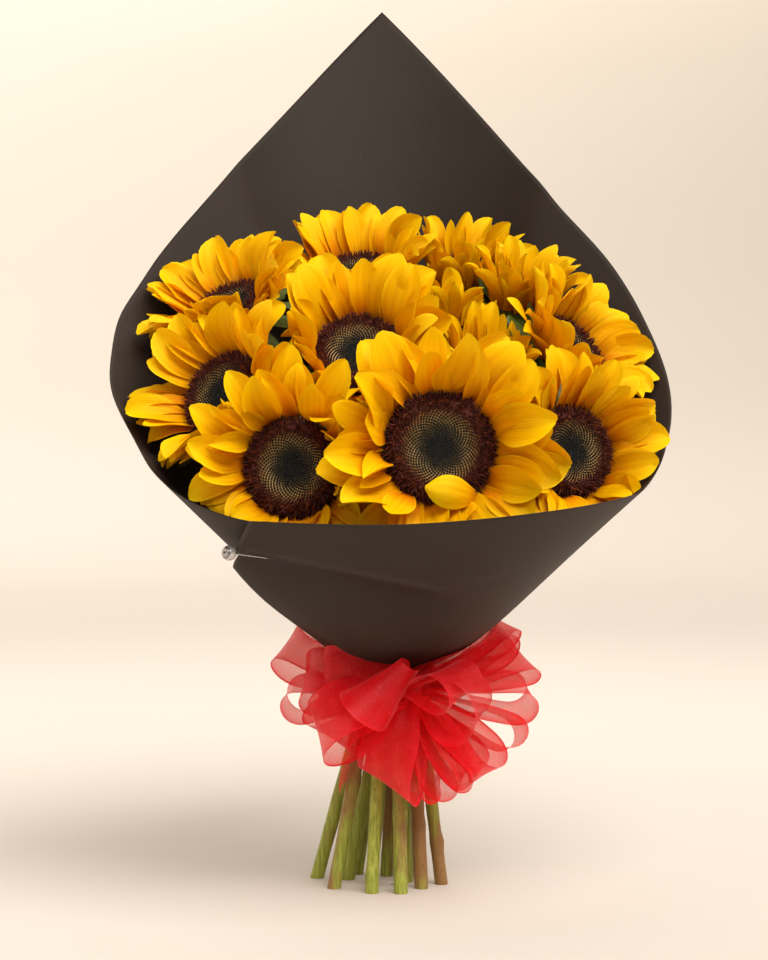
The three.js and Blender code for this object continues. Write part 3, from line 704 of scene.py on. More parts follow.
def blade_points(flower, blade, t, v, rise=0.0):
    """The blade is rooted at a turn round the flower and points `aim` aside from that. Its
    middle line is summed from short steps at an angle that turns from `start` to `end`
    degrees off the flower's axis, plus a curl near the tip. Across it, the blade is cupped,
    grooved along its length, waved at its edges, rolled to one side and twisted."""
    b = {key: np.asarray(value, float).reshape(-1, 1, 1) for key, value in blade.items()}
    t, v = t[None, :, None], v[None, None, :]
    angle = np.radians(b["start"] + (b["end"] - b["start"]) * t + b["curl"] * ease(0.55, 1, t))
    step = np.diff(t, axis=1, prepend=0) * b["length"]
    halfway = (angle + np.concatenate([angle[:, :1], angle[:, :-1]], 1)) / 2
    outward = np.cumsum(np.sin(halfway) * step, 1)
    forward = np.cumsum(np.cos(halfway) * step, 1)
    half = b["half"] * blade_width(t, b["claw"])
    grooves = -0.055 * half * np.cos(v * 3 * np.pi * 0.5 + b["phase"]) ** 2 * np.sin(np.pi * t) ** 0.5
    waves = b["wave"] * v * np.abs(v) * np.sin(TAU * (1.1 * t + b["phase"])) * t * half
    lift = b["cup"] * (0.25 + t) * half * v * v + grooves + waves + rise
    twist = b["roll"] + b["twist"] * t
    aside = half * v * np.cos(twist) - lift * np.sin(twist) + b["sway"] * t * t
    above = half * v * np.sin(twist) + lift * np.cos(twist)
    root = flower.place(b["height"], b["radius"], b["turn"]) - flower.centre
    aim = b["turn"] + b["aim"]
    base = flower.place(forward + above * np.sin(angle), outward - above * np.cos(angle), aim) + root
    tangent = aim + np.pi / 2
    side = np.cos(tangent)[..., None] * flower.across + np.sin(tangent)[..., None] * flower.over
    return base + aside[..., None] * side


print("width along a blade:", blade_width(np.linspace(0, 1, 6), 0.5).round(2))

# %% Bend a blade clear of its neighbours
LIFTS = [0, 8, -8, 16, 24, -12, 32, 44, 56]
LENGTHS = [1, 0.88, 0.76, 0.64]
CHANGES = sorted(
    ((scale, lift) for scale in LENGTHS for lift in LIFTS),
    key=lambda change: abs(change[1]) / 40 + (1 - change[0]) / 0.4,
)


def depth_outside(flower, points, room):
    """How far points reach past the walls, the paper or other stems: 0 or less is clear."""
    deepest = np.full(points.shape[:-1], -1e9)
    for normal, offset in flower.walls:
        deepest = np.maximum(deepest, room["wall"] - (points @ normal - offset))
    angle = np.degrees(np.arctan2(points[..., 0], points[..., 1]))
    out = np.hypot(points[..., 0], points[..., 1])
    inner = paper_radius(angle, points[..., 2]) - paper_form(angle)[2]
    deepest = np.maximum(deepest, out - inner + room["paper"])
    for other in flowers:
        if other is not flower:
            route = other.route[24::3]
            gaps = np.linalg.norm(points[..., None, :] - route, axis=-1).min(-1)
            deepest = np.maximum(deepest, room["stem"] - gaps)
    return deepest


def fitted(flower, blade, room):
    """Tries each change of bend and length, from the smallest on, and keeps for every blade the
    first that is clear, or the one that reaches least far out."""
    t, v = np.linspace(0.2, 1, 6), np.array([-1.0, 0, 1])
    count = len(blade["turn"])
    chosen = {key: np.array(np.broadcast_to(value, count), float) for key, value in blade.items()}
    best = np.full(count, 1e9)
    for scale, lift in CHANGES:
        tried = {key: np.broadcast_to(value, count) for key, value in blade.items()}
        tried = {**tried, "length": tried["length"] * scale}
        tried["start"] = np.maximum(tried["start"] - 0.5 * lift, 6)
        tried["end"] = np.maximum(tried["end"] - lift, 8)
        reach = depth_outside(flower, blade_points(flower, tried, t, v), room).max((1, 2))
        better = (best > 0) & (reach < best - 0.5)
        best = np.where(better, reach, best)
        for key in ("length", "start", "end"):
            chosen[key] = np.where(better, tried[key], chosen[key])
    return chosen


print(len(CHANGES), "changes of bend and length to try")

# %% [markdown]
# ## Thin leaves with two faces
# A petal is about half a millimetre thick. Each is a closed skin: rings of points run along its
# top face and back along its underside, and meet in sharp edges, so its mesh has no holes.

# %% A skin round each blade
BLADE_COLUMNS = 11


def blade_skins(flower, blade, thick):
    """Points (blades, rows, ring, 3), with the UV numbers of each ring point."""
    t = np.linspace(0, 0.985, BLADE_ROWS)
    v = np.linspace(-1, 1, BLADE_COLUMNS)
    body = thick / 2 * (1 - v**2) ** 0.5 * (1 - 0.5 * t[:, None])
    top = blade_points(flower, blade, t, v, body[None])
    under = blade_points(flower, blade, t, v, -body[None])
    ring = np.concatenate([top, under[:, :, -2:0:-1]], 2)
    across = np.concatenate([v, v[-2:0:-1]]) / 2 + 0.5
    count, size = len(top), ring.shape[2]
    u = np.broadcast_to(across[None, None], (count, BLADE_ROWS, size))
    w = np.broadcast_to(t[None, :, None], (count, BLADE_ROWS, size))
    return ring, np.stack([u, w], -1)


def inside_wrap(points, room=1.8):
    """Moves points that would touch the paper straight in towards the neck's axis."""
    angle = np.degrees(np.arctan2(points[..., 0], points[..., 1]))
    out = np.hypot(points[..., 0], points[..., 1])
    most = paper_radius(angle, points[..., 2]) - paper_form(angle)[2] - PAPER_THICKNESS - room
    moved = points.copy()
    moved[..., :2] *= np.minimum(1, most / np.maximum(out, 1))[..., None]
    return moved


def blade_mesh(name, flower, blade, thick, finish, tone):
    """All the blades of a flower in one mesh, with a tone number for each blade."""
    ring, uv = blade_skins(flower, blade, thick)
    ring = inside_wrap(ring)
    count, rows, size, _ = ring.shape
    groups = repeated(tube_faces(rows, size), count, rows * size)
    tones = np.repeat(tone, rows * size)
    return make_piece(
        name, ring.reshape(-1, 3), groups, finish, uv.reshape(-1, 2), {"tone": tones}, sharp=55,
    )


# %% [markdown]
# ## The petals
# A sunflower's ray florets stand in layers, here three of sixteen or eighteen. They are golden,
# deeper and more orange towards the disc, partly their own colour and partly painted shade, with
# fine veins and two grooves along them and painted stripes of shade, and no two are alike. A
# little light passes through them, which a Translucent shader gives.

# %% The petals' finish
def petal_finish():
    finish = Finish("golden_petal", Roughness=0.5, Specular_IOR_Level=0.1)
    across, along = finish.map_parts()
    tone = finish.number("tone")
    where = finish.place()
    cloud = finish.noise(where, 60.0, 3.0)
    # Deeper orange towards the root: partly the petals' own colour and partly painted shade there.
    body = finish.ramp(
        along + (tone - 0.5) * 0.3,
        (0.0, (196, 92, 0)), (0.16, (236, 148, 0)), (0.42, (255, 200, 0)),
        (0.75, (255, 215, 0)), (1.0, (255, 230, 6)),
    )
    vein = (across * 95.0 + 3.0 * cloud).wave() * 0.5 + 0.5
    # Stripes of painted shade along the petal, strongest towards the root.
    groove_shade = (across * 14.0 + 2.0 * tone + cloud).wave().size() ** 5.0
    edge = (across - 0.5).size().step(0.38, 0.5)
    finish.set(Base_Color=finish.coats(
        body, (vein * 0.07, (232, 156, 0)), (groove_shade * 0.42 * (1.05 - along), (206, 110, 0)),
        (tone * 0.3, (250, 184, 0)), (edge * (0.15 + 0.5 * along), (255, 230, 20)),
        (cloud.step(0.5, 0.8) * 0.2, (255, 222, 10)),
    ))
    finish.bump(vein * 0.4 + cloud * 0.6, 0.4, 0.0006)
    lit = Wire(finish, finish.shader.outputs[0])
    glow = finish.node("ShaderNodeBsdfTranslucent", None, Color=colour(255, 212, 0))
    both = finish.node("ShaderNodeMixShader", None, 0.35, lit, glow)
    finish.tree.links.new(both.socket, finish.out.inputs[0])
    return finish.material


# %% The petals of each flower
ROOM = {"wall": -3.5, "paper": 3, "stem": STEM_RADIUS + 3}
PETAL_LAYERS = 3
BROAD_PETALS = (0, 4)  # the two heads in the middle have broader petals than the others
SMALL_DISC = 22  # heads with discs up to this radius have narrow petals
petal_gold = petal_finish()


def pressed(flower, turn):
    """From 0 to 1: how much a petal in this direction lacks room before the nearest wall."""
    out = np.cos(turn)[:, None] * flower.across + np.sin(turn)[:, None] * flower.over
    normals = np.array([normal for normal, _ in flower.walls])
    depths = normals @ flower.centre - [offset for _, offset in flower.walls]
    towards = np.maximum(-out @ normals.T, 0.05)
    room = (depths / towards).min(1) - flower.disc
    return ease(0.85, 0.35, room / flower.petal)


def petal_blades(flower):
    """The numbers of all the petals of a flower, layer by layer from the lowest up."""
    rays, half = 18, 8.6 if flower.disc > SMALL_DISC else 5.8
    if flower.index in BROAD_PETALS:
        rays, half = 16, 10.6
    layer = np.repeat(np.arange(PETAL_LAYERS), rays)
    k = np.tile(np.arange(rays), PETAL_LAYERS)
    seed = flower.index * 41 + layer * 17 + k
    turn = (k + layer / PETAL_LAYERS + 0.55 * scatter(seed, 2)) / rays * TAU + flower.index
    press = pressed(flower, turn)
    folded = scatter(seed, 15) > 0.32 - 0.5 * press
    opening = flower.opening - 12 * layer + 20 * scatter(seed, 1) - 20 * press * (1 + scatter(seed, 16))
    slim = np.where(folded, 0.62 + 0.2 * scatter(seed, 17), 1)
    return {
        "turn": turn,
        "radius": flower.disc + 1.0 - 0.5 * layer,
        "height": -1.8 + 0.8 * layer,
        "start": opening - 36 + 16 * scatter(seed, 10),
        "end": opening + 8 + 32 * scatter(seed, 11),
        "curl": 56 * scatter(seed, 3) - 4,
        "length": flower.petal * (1.0 + 0.26 * scatter(seed, 4)) * np.where(folded, 0.86, 1),
        "half": half * (0.86 + flower.petal / 300) * (1 + 0.46 * scatter(seed, 5)) * slim,
        "claw": 0.52 + 0.14 * scatter(seed, 12),
        "cup": 0.3 + 0.7 * scatter(seed, 6) + np.where(folded, 0.5, 0),
        "wave": 0.2 + 0.2 * scatter(seed, 7),
        "phase": 3 * scatter(seed, 8),
        "twist": 0.8 * scatter(seed, 9) * np.where(folded, 2.4, 1),
        "sway": 12 * scatter(seed, 13) * np.where(folded, 2.0, 1),
        "aim": 0.5 * scatter(seed, 14),
        "roll": 0.3 + 0.5 * scatter(seed, 18),
    }


# One petal of the first flower has curled over, across the edge of its disc.
CURLED_PETAL = {
    "turn": np.radians(-56), "aim": np.radians(226), "radius": 34.5, "height": 5.5, "start": 24,
    "end": 98, "curl": 22, "length": 37, "half": 9.6, "claw": 0.5, "cup": -0.4, "wave": 0.05,
    "phase": 0.2, "roll": 0.0, "twist": 0.15, "sway": 0,
}

for flower in flowers:
    petals = fitted(flower, petal_blades(flower), ROOM)
    if flower.index == 0:
        petals = {key: np.append(petals[key], CURLED_PETAL[key]) for key in petals}
    tone = scatter(np.arange(len(petals["turn"])) + 5 * flower.index, 20) + 0.5
    piece = blade_mesh(f"ray_petals_{flower.name}", flower, petals, 0.5, petal_gold, tone)
    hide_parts(f"petals_{flower.name}")

# %% [markdown]
# ## The discs
# The disc is a shallow dish of hundreds of florets, set out on the golden spiral. The middle
# ones are closed and almost black, those round them show a fine net of gold between their dark
# tops, and the outer ones are open: a maroon ring of curled threads, with a jagged fringe over
# the roots of the petals. Each floret is a small solid of its own, and a smooth dish under them
# has the colour that shows between them.

# %% The dish and its colours
FLORET_STEP = 1.55  # millimetres between neighbouring florets


def disc_height(part):
    """A dish in the middle, a raised ring round it and a fall to the rim."""
    return 4.2 + 3.6 * ease(0.3, 0.78, part) - 6.2 * ease(0.82, 1.0, part)


def disc_finish():
    finish = Finish("disc_florets", Roughness=0.75, Specular_IOR_Level=0.25)
    part, height, tone = finish.number("part"), finish.number("tip"), finish.number("tone")
    where = finish.place()
    grain = finish.noise(where, 500.0, 2.0)
    between = finish.ramp(
        part + (grain - 0.5) * 0.3,
        (0.0, (34, 36, 32)), (0.22, (48, 46, 36)), (0.38, (150, 128, 84)),
        (0.5, (206, 178, 118)), (0.63, (184, 138, 78)), (0.72, (80, 32, 20)), (1.0, (40, 11, 10)),
    )
    tops = finish.ramp(
        part + (grain - 0.5) * 0.1,
        (0.0, (30, 34, 34)), (0.3, (24, 25, 24)), (0.6, (30, 20, 16)),
        (0.74, (66, 22, 16)), (1.0, (52, 14, 12)),
    )
    threads = finish.coats((92, 30, 18), (tone, (178, 92, 44)))
    body = finish.coats(between, (height.step(0.25, 0.6), tops), (height.step(1.4, 2.0), threads))
    finish.set(Base_Color=body)
    finish.bump(grain, 0.5, 0.0004)
    return finish.material


disc_brown = disc_finish()


def dish(flower, rings=18, segments=48):
    """A closed dish: rings of points over its face, round its rim and under it."""
    part = np.linspace(0.02, 1, rings)
    face = np.stack([part * (flower.disc - 0.6), disc_height(part) - 0.5], -1)
    rim, under = flower.disc - 1.4, flower.disc - 4.4
    back = np.array([(rim, -0.3), (under, -0.4), (under, -2.4), (1, -2.4)])
    profile = np.concatenate([face, back])
    turn = np.linspace(0, TAU, segments, endpoint=False)
    points = flower.place(profile[:, 1:], profile[:, :1], turn[None])
    parts = np.repeat(np.concatenate([part, np.ones(len(back))]), segments)
    groups = [g[:, ::-1] for g in tube_faces(len(profile), segments)]
    return points.reshape(-1, 3), groups, parts


# %% Florets on the golden spiral
def spiral(flower):
    """Radius and turn of each floret: radius grows with the square root of its number."""
    count = int(np.pi * flower.disc**2 / FLORET_STEP**2 * 0.93)
    number = np.arange(count) + 0.5
    return (flower.disc - 1.2) * np.sqrt(number / count), number * TAU * GOLDEN


def stamped(profile, sides, centres, ways, spins, sizes, asides=0.0):
    """Copies of a small turned shape. Its profile is rings of (radius, height). Each copy has a
    middle, a direction, a spin about it and a size, and may bend aside by height squared."""
    profile = np.array(profile, float)
    across = unit(np.cross(ways, [0.31, 0.17, 0.93]))
    over = np.cross(ways, across)
    angle = spins[:, None] + np.linspace(0, TAU, sides, endpoint=False)
    ring = np.cos(angle)[..., None] * across[:, None] + np.sin(angle)[..., None] * over[:, None]
    radius = profile[:, 0][None, :, None, None] * sizes[:, None, None, None]
    height = profile[:, 1][None, :, None, None] * sizes[:, None, None, None]
    points = centres[:, None, None] + radius * ring[:, None] + height * ways[:, None, None]
    aside = np.broadcast_to(np.asarray(asides, float), centres.shape)
    points = points + aside[:, None, None] * (profile[:, 1] ** 2)[None, :, None, None]
    groups = repeated(tube_faces(len(profile), sides), len(centres), len(profile) * sides)
    return points.reshape(-1, 3), groups


# The shapes of a closed floret, an open one, a thread and a spike of the fringe, as rings of
# (radius, height, colour number). The colour goes from 0 between the florets to 1 on their
# tops and 2 on bare threads.
BUD = [(0.5, 0, 0.0), (0.48, 0.6, 0.75), (0.3, 0.95, 1.0)]
OPEN_FLORET = [(0.4, 0, 0.0), (0.42, 0.9, 0.8), (0.3, 1.5, 1.0), (0.05, 2.3, 1.3)]
THREAD = [(0.13, 0, 1.0), (0.11, 1.2, 1.5), (0.09, 2.2, 1.9), (0.07, 3.1, 2.0), (0.03, 3.9, 2.0)]
SPIKE = [(0.55, 0, 0.6), (0.5, 1.4, 0.8), (0.32, 2.6, 1.0), (0.04, 3.9, 1.2)]


def stamped_with(shape, sides, where, parts, tones):
    """Stamped copies, with each point's part of the disc's radius, colour number and tone."""
    points, groups = stamped(shape, sides, *where)
    tips = np.tile(np.repeat([ring[2] for ring in shape], sides), len(parts))
    each = len(shape) * sides
    return points, groups, np.repeat(parts, each), tips, np.repeat(tones, each)


def fringe(flower):
    """Spikes round the rim, over the roots of the petals."""
    spikes = int(flower.disc * 4.2)
    number = np.arange(spikes)
    turn = (number + 0.8 * speckle(number, 14)) / spikes * TAU
    out = unit(flower.place(0, 1, turn) - flower.centre)
    height = disc_height(0.97) - 0.6 + speckle(number, 15)
    base = flower.place(height, flower.disc - 1.2 + speckle(number, 18), turn)
    way = unit(out + (0.35 + 0.7 * speckle(number, 16))[:, None] * flower.axis)
    where = base, way, turn, 1 + 0.55 * speckle(number, 17)
    return stamped_with(SPIKE, 4, where, np.ones(spikes), np.zeros(spikes))


def disc_piece(flower):
    """The dish, the closed florets, the open ones, their threads and the fringe, in one mesh."""
    radius, turn = spiral(flower)
    part = radius / flower.disc
    seed = np.arange(len(part))
    slope = (disc_height(part + 0.01) - disc_height(part - 0.01)) / (0.02 * flower.disc)
    centres = flower.place(disc_height(part) - 0.6, radius, turn)
    outward = unit(flower.place(0, 1, turn) - flower.centre)
    ways = unit(flower.axis - slope[:, None] * outward)
    spin = turn + 0.3 * speckle(seed, 2)

    def some(chosen, shape, sides, way, size, channel, *aside):
        """The chosen florets, stamped with this shape. The channel scatters their tones."""
        where = [numbers[chosen] for numbers in (centres, way, spin, size, *aside)]
        return stamped_with(shape, sides, where, part[chosen], speckle(seed[chosen], channel) + 0.5)

    bud_size = FLORET_STEP * (0.96 + 0.12 * speckle(seed, 1)) * mix(0.9, 1.0, ease(0, 0.3, part))
    lean = outward * (0.25 + 0.5 * ease(0.86, 1, part))[:, None]
    lean = lean + 0.5 * np.stack([speckle(seed, c) for c in (4, 5, 6)], -1)
    opened = unit(ways + lean)
    still_whole = (part >= 0.72) & (speckle(seed, 19) < 0.2)
    curl = unit(np.stack([speckle(seed, c) for c in (9, 10, 11)], -1) + 0.01) * 0.16
    threaded = (part >= 0.64) & (speckle(seed, 20) < 0.05 + 0.5 * ease(0.7, 0.8, part))
    floor = dish(flower)
    still = np.zeros(len(floor[0]))
    points, groups, parts, tips, tones = joined([
        (*floor, still, still),
        some(part < 0.76, BUD, 6, ways, bud_size, 3),
        some(still_whole, OPEN_FLORET, 5, opened, 1.45 * (1 + 0.5 * speckle(seed, 7)), 8),
        some(threaded, THREAD, 3, unit(opened + curl * 2), 1.0 + 0.4 * speckle(seed, 12), 13, curl),
        fringe(flower),
    ])
    values = {"part": parts, "tip": tips, "tone": tones}
    return make_piece(f"seed_disc_{flower.name}", points, groups, disc_brown, None, values, sharp=50)


for flower in flowers:
    piece = disc_piece(flower)
    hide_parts(f"disc_{flower.name}")

# %% [markdown]
# ## Stems, receptacles and bracts
# A cut stem is a ridged green tube, browned in patches where its leaves were stripped, with a
# scar or two and short stiff hairs. Behind the head it swells into the receptacle, which carries
# rows of pointed green bracts. It grew as one piece, so it is one mesh.

# %% The stems' finish
def stem_finish():
    finish = Finish("fresh_stem", Roughness=0.48, Specular_IOR_Level=0.4)
    where = finish.place()
    patch = finish.noise(finish.place((1, 1, 0.28)), 48.0, 3.0, 0.6)
    streak = finish.noise(finish.place((1, 1, 0.04)), 700.0, 2.0)
    speck = finish.noise(where, 380.0, 1.0).step(0.7, 0.78)
    cut, tone = finish.number("cut"), finish.number("tone")
    brown = (patch + (tone - 0.5) * 0.3).step(0.5, 0.66)
    finish.set(Base_Color=finish.coats(
        finish.ramp(streak, (0.3, (120, 130, 38)), (0.7, (170, 174, 72))),
        (brown * 0.8, (140, 86, 58)), (speck * 0.6, (74, 60, 30)),
        (cut * -1.0, (56, 84, 24)), (cut, (196, 186, 120)),
    ))
    finish.bump(streak * 0.7 + patch * 0.3, 0.4, 0.0006)
    return finish.material


stem_green = stem_finish()

# %% A stem, its receptacle and its bracts
STEM_SIDES = 16
SCARS = {0: 44, 6: 36, 7: 27, 2: 66, 8: 52}  # flower and height of a leaf scar
BROWNED = [0.45, 0.3, 0.85, 0.3, 0.4, 0.35, 0.8, 0.7, 0.5, 0.6, 0.3, 0.5]  # each stem's patches


def tube_along(route, radius):
    """Rings round a route. Each is square to the route, and `radius` is (rows, sides)."""
    way = unit(np.gradient(route, axis=0))
    across = unit(np.cross(way, [1.0, 0, 0]))
    over = np.cross(way, across)
    turn = np.linspace(0, TAU, radius.shape[1], endpoint=False)
    ring = np.cos(turn)[None, :, None] * across[:, None] + np.sin(turn)[None, :, None] * over[:, None]
    return route[:, None] + radius[..., None] * ring, way


def stem_tube(flower):
    """A ridged tube. What would reach below the floor is slid back up along the stem."""
    route, number = flower.route, flower.index
    turn = np.linspace(0, TAU, STEM_SIDES, endpoint=False)[None]
    height = route[:, 2:3]
    swell = 1 + 0.02 * np.sin(height / 9 + number) + 0.015 * np.sin(height / 3.7 + 2 * number)
    radius = STEM_RADIUS * (0.98 + 0.1 * scatter(flower.index, 3)) * swell
    radius = radius * (1 + 0.025 * np.cos(7 * turn + height / 40)) * (1 - 0.06 * ease(90, 130, height))
    if flower.index in SCARS:
        near = np.exp(-(((height - SCARS[flower.index]) / 2.6) ** 2))
        side = np.exp(-(((turn - np.pi * 0.5) % TAU - np.pi) / 1.1) ** 2)
        radius = radius * (1 + near * (0.1 + 0.24 * side))
    points, way = tube_along(route, radius)
    under = np.minimum(points[..., 2:], 0)
    return points - way[:, None] * under / way[:, None, 2:]


def receptacle(flower, segments=36):
    """A turned cup from the end of the stem to the back of the petals' ring."""
    disc = flower.disc
    profile = np.array([
        (2.0, -HEAD_DEPTH - 1), (4.6, -HEAD_DEPTH + 0.5), (disc * 0.4, -17), (disc * 0.68, -11.5),
        (disc * 0.9, -7), (disc - 1.6, -4.6), (disc - 2.6, -2.8), (1, -2.8),
    ])
    turn = np.linspace(0, TAU, segments, endpoint=False)
    points = flower.place(profile[:, 1:], profile[:, :1], turn[None])
    return points.reshape(-1, 3), tube_faces(len(profile), segments)


def bract_blades(flower):
    """Two rows of pointed bracts that spread behind the petals."""
    rays = 11
    layer = np.repeat([0, 1], rays)
    k = np.tile(np.arange(rays), 2)
    seed = flower.index * 53 + layer * 19 + k
    spread = 100 + 14 * layer + 16 * scatter(seed, 1)
    return {
        "turn": (k + layer / 2 + 0.4 * scatter(seed, 2)) / rays * TAU,
        "radius": flower.disc * (0.9 - 0.12 * layer),
        "height": -6.0 - 2.4 * layer,
        "start": spread + 6, "end": spread - 4 + 20 * scatter(seed, 3), "curl": 30 * scatter(seed, 4),
        "length": 27 * (1 + 0.4 * scatter(seed, 5)), "half": 5.6, "claw": 0.9, "cup": -0.2,
        "wave": 0.1, "phase": scatter(seed, 6), "twist": 0.4 * scatter(seed, 7),
        "sway": 5 * scatter(seed, 8), "aim": 0.0, "roll": 0.0,
    }


def hairs(flower, count=90):
    """Short stiff hairs on the bare stem, from the floor up to the tie."""
    number = np.arange(count)
    share = (scatter(number, 21) + 0.5) * 17 + 2
    row = share.astype(int)
    at = mix(flower.route[row], flower.route[row + 1], (share - row)[:, None])
    turn = scatter(number + flower.index, 22) * TAU
    out = np.stack([np.cos(turn), np.sin(turn), 0.3 + 0 * turn], -1)
    flat = np.stack([np.cos(turn), np.sin(turn), 0 * turn], -1)
    way = unit(out)
    base = at + flat * STEM_RADIUS * 0.93
    return stamped([(0.14, 0), (0.1, 0.7), (0.01, 1.5)], 3, base, way, turn, 0.8 + 0.5 * scatter(number, 23))


def cut_stem(flower):
    """The tube, closed below by two rings and a middle, which show the cut's pale pith."""
    points = stem_tube(flower)
    rows, sides, _ = points.shape
    tube, _, end_cap = tube_faces(rows, sides)
    first = points[0]
    face = np.stack([mix(first.mean(0), first, share) for share in (0.72, 0.3)])
    outer = rows * sides + np.arange(sides)
    rings = [np.arange(sides), outer, outer + sides]
    bands = [
        np.stack([a, b, np.roll(b, -1), np.roll(a, -1)], -1) for a, b in zip(rings, rings[1:])
    ]
    cuts = np.repeat([0.0, 1.0, 0.7], [rows * sides, sides, sides])
    flat = np.concatenate([points.reshape(-1, 3), face.reshape(-1, 3)])
    return flat, [tube, *bands, rings[2][None, ::-1], end_cap], cuts


def stem_piece(flower):
    """The cut stem, its receptacle, its bracts and its hairs, in one mesh."""
    bracts = fitted(flower, bract_blades(flower), ROOM)
    skins = inside_wrap(blade_skins(flower, bracts, 0.8)[0], 2.4)
    count, rows, size, _ = skins.shape
    bract_groups = repeated(tube_faces(rows, size), count, rows * size)
    extras = [
        (receptacle(flower), -0.8), ((skins.reshape(-1, 3), bract_groups), -0.8), (hairs(flower), 0.35),
    ]
    meshes = [(*mesh, np.full(len(mesh[0]), cut)) for mesh, cut in extras]
    points, groups, cuts = joined([cut_stem(flower), *meshes])
    values = {"cut": cuts, "tone": np.full(len(points), BROWNED[flower.index])}
    return make_piece(f"green_stem_{flower.name}", points, groups, stem_green, None, values, sharp=50)


for flower in flowers:
    piece = stem_piece(flower)
    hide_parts(f"stem_{flower.name}")

# %% [markdown]
# ## The ribbon
# The bow is one organza ribbon, 38 mm wide, looped back and forth and held in the middle. A
# simulation of so many loops is slow and hard to steer, and each loop in the photograph has its
# own place, so each is laid by a formula: a drop-shaped path out from the knot and back, with
# the ribbon's width at right angles to it, gathered into pleats where it nears the knot. Each
# loop is then moved out of the cone, though near the neck some of them still cut into it.

# %% The ribbon's finish
def ribbon_finish():
    """Sheer red cloth: a fine weave with gaps, two dense woven edges, light through it, and pale
    pink streaks of painted sheen along its threads.
    """
    sheen = {"Sheen_Weight": 0.25, "Sheen_Roughness": 0.35}
    finish = Finish("red_organza", Roughness=0.4, Specular_IOR_Level=0.5, **sheen)
    across, along = finish.map_parts()
    edge = (across - 0.5).size().step(0.462, 0.478)
    weft = (across * 520.0).wave() * 0.5 + 0.5
    warp = (along * 43.0).wave() * 0.5 + 0.5
    drift = finish.noise(finish.place(), 70.0, 2.0)
    threads_place = finish.node("ShaderNodeCombineXYZ", None, across * 80.0, along * 0.3, 0.0)
    streaks_and_sheen = finish.noise(threads_place, 1.0, 3.0)
    dense = 0.43 + 0.12 * drift + 0.16 * streaks_and_sheen + 0.06 * weft * warp
    dense = dense + 0.22 * ((across - 0.5).size() * 2.0) ** 3.0 + 0.16 * finish.number("close")
    # The pale pink streaks are painted sheen highlights; the same streaks also thicken the weave.
    body = finish.coats(
        (250, 16, 36), (drift.step(0.35, 0.7) * 0.6, (255, 56, 70)),
        (streaks_and_sheen.step(0.56, 0.74) * 0.5, (255, 140, 140)), (edge, (240, 26, 40)),
    )
    finish.set(Base_Color=body)
    finish.bump(weft + warp, 0.12, 0.0002)
    lit = Wire(finish, finish.shader.outputs[0])
    glow = finish.node("ShaderNodeBsdfTranslucent", None, Color=body)
    threads = finish.node("ShaderNodeMixShader", None, 0.42, lit, glow)
    gaps = finish.node("ShaderNodeBsdfTransparent", None, Color=colour(255, 240, 236))
    both = finish.node("ShaderNodeMixShader", None, dense + (0.96 - dense) * edge, gaps, threads)
    finish.tree.links.new(both.socket, finish.out.inputs[0])
    return finish.material


organza = ribbon_finish()

# %% The bow's loops
RIBBON_HALF = 19
RIBBON_COLUMNS = 19
TIE_RADIUS = 25.6
TIE_OUTSIDE = 27.5  # the bow's loops keep outside this radius at the tie
KNOT = np.array([7.0, -36.0, 124.0])

# Each loop: where its tip lies from the knot (right, back, up), which way the ribbon's width
# points there, half of how wide the loop opens, half of its width at the knot, and how much
# longer and wider it grows towards the width's end, because a tied loop rolls into a cone.
LOOPS = [
    ((-75, 36, 23), (0.2, 0.7, 0.7), 12, 9, 0.0),
    ((-75, 24, -12), (-0.2, 0.96, 0.1), 12, 6, 0.04),
    ((-63, 10, 3), (0.45, 0.7, 0.6), 10, 6, 0.0),
    ((-54, -16, -25), (-0.2, 0.5, 0.8), 18, 11, -0.1),
    ((-47, -4, -30), (0.25, 0.5, 0.8), 11, 9, 0.1),
    ((-17, -33, 3), (-0.74, -0.1, -0.66), 11.5, 9, 0.26),
    ((-52, 0, 6), (0.05, 0.35, 0.93), 9, 12, 0.0),
    ((-12, -18, -57), (0.66, -0.45, -0.6), 10, 10, 0.13),
    ((34, -30, 6), (0.62, 0.74, 0.25), 12, 12, -0.06),
    ((46, -22, -9), (0.3, 0.9, 0.3), 17, 7, -0.1),
    ((48, -10, -52), (-0.42, 0.62, -0.66), 12, 6, -0.05),
    ((78, 14, -8), (0.1, 0.95, 0.25), 9.5, 5, 0.0),
    ((70, 6, -32), (0.16, 0.93, -0.3), 9.5, 5, 0.0),
    ((60, 36, 34), (0.1, 0.8, 0.6), 10, 9, 0.0),
    ((76, 30, 15), (-0.38, 0.8, 0.45), 6.5, 5, 0.0),
    ((58, 46, 38), (-0.15, 0.72, 0.68), 8, 9, 0.0),
    ((19, 2, -62), (0.0, 0.85, 0.52), 6, 5, -0.08),
    ((32, 0, -59), (0.12, 0.8, 0.58), 10, 6, -0.06),
    ((42, -4, -55), (0.7, 0.5, -0.5), 8, 6, 0.0),
]
TAILS = [((-36, 36, -61), (0.3, 0.9, 0.1), (0.25, 0.95, 0.0))]
CLOSE_WOVEN = {1: 1.0, 2: 0.7, 10: 0.5, 11: 0.8, 12: 1.0, 14: 0.4}  # loops drawn tight, by row


def gathered(to_knot, root):
    """Half of the ribbon's width, which grows from the knot, and the pleats it stands in there:
    a cosine of v that fades out as the ribbon widens."""
    v = np.linspace(-1, 1, RIBBON_COLUMNS)[None]
    tight = (1 - ease(0, 0.28, to_knot))[:, None]
    pleats = 2.2 * tight * (1 - root / RIBBON_HALF) * np.cos(3 * np.pi * v)
    return mix(RIBBON_HALF, root, tight) * v, pleats + 1.3 * (1 - tight) * (v * v - 0.4)


def ribbon_grid(path, across, to_knot, root):
    """Points on both sides of a path: its own width across it and the pleats off its face."""
    way = unit(np.gradient(path, axis=0))
    across = unit(across - (across * way).sum(-1, keepdims=True) * way)
    face = np.cross(way, across)
    wide, off = gathered(to_knot, root)
    return path[:, None] + wide[..., None] * across[:, None] + off[..., None] * face[:, None]


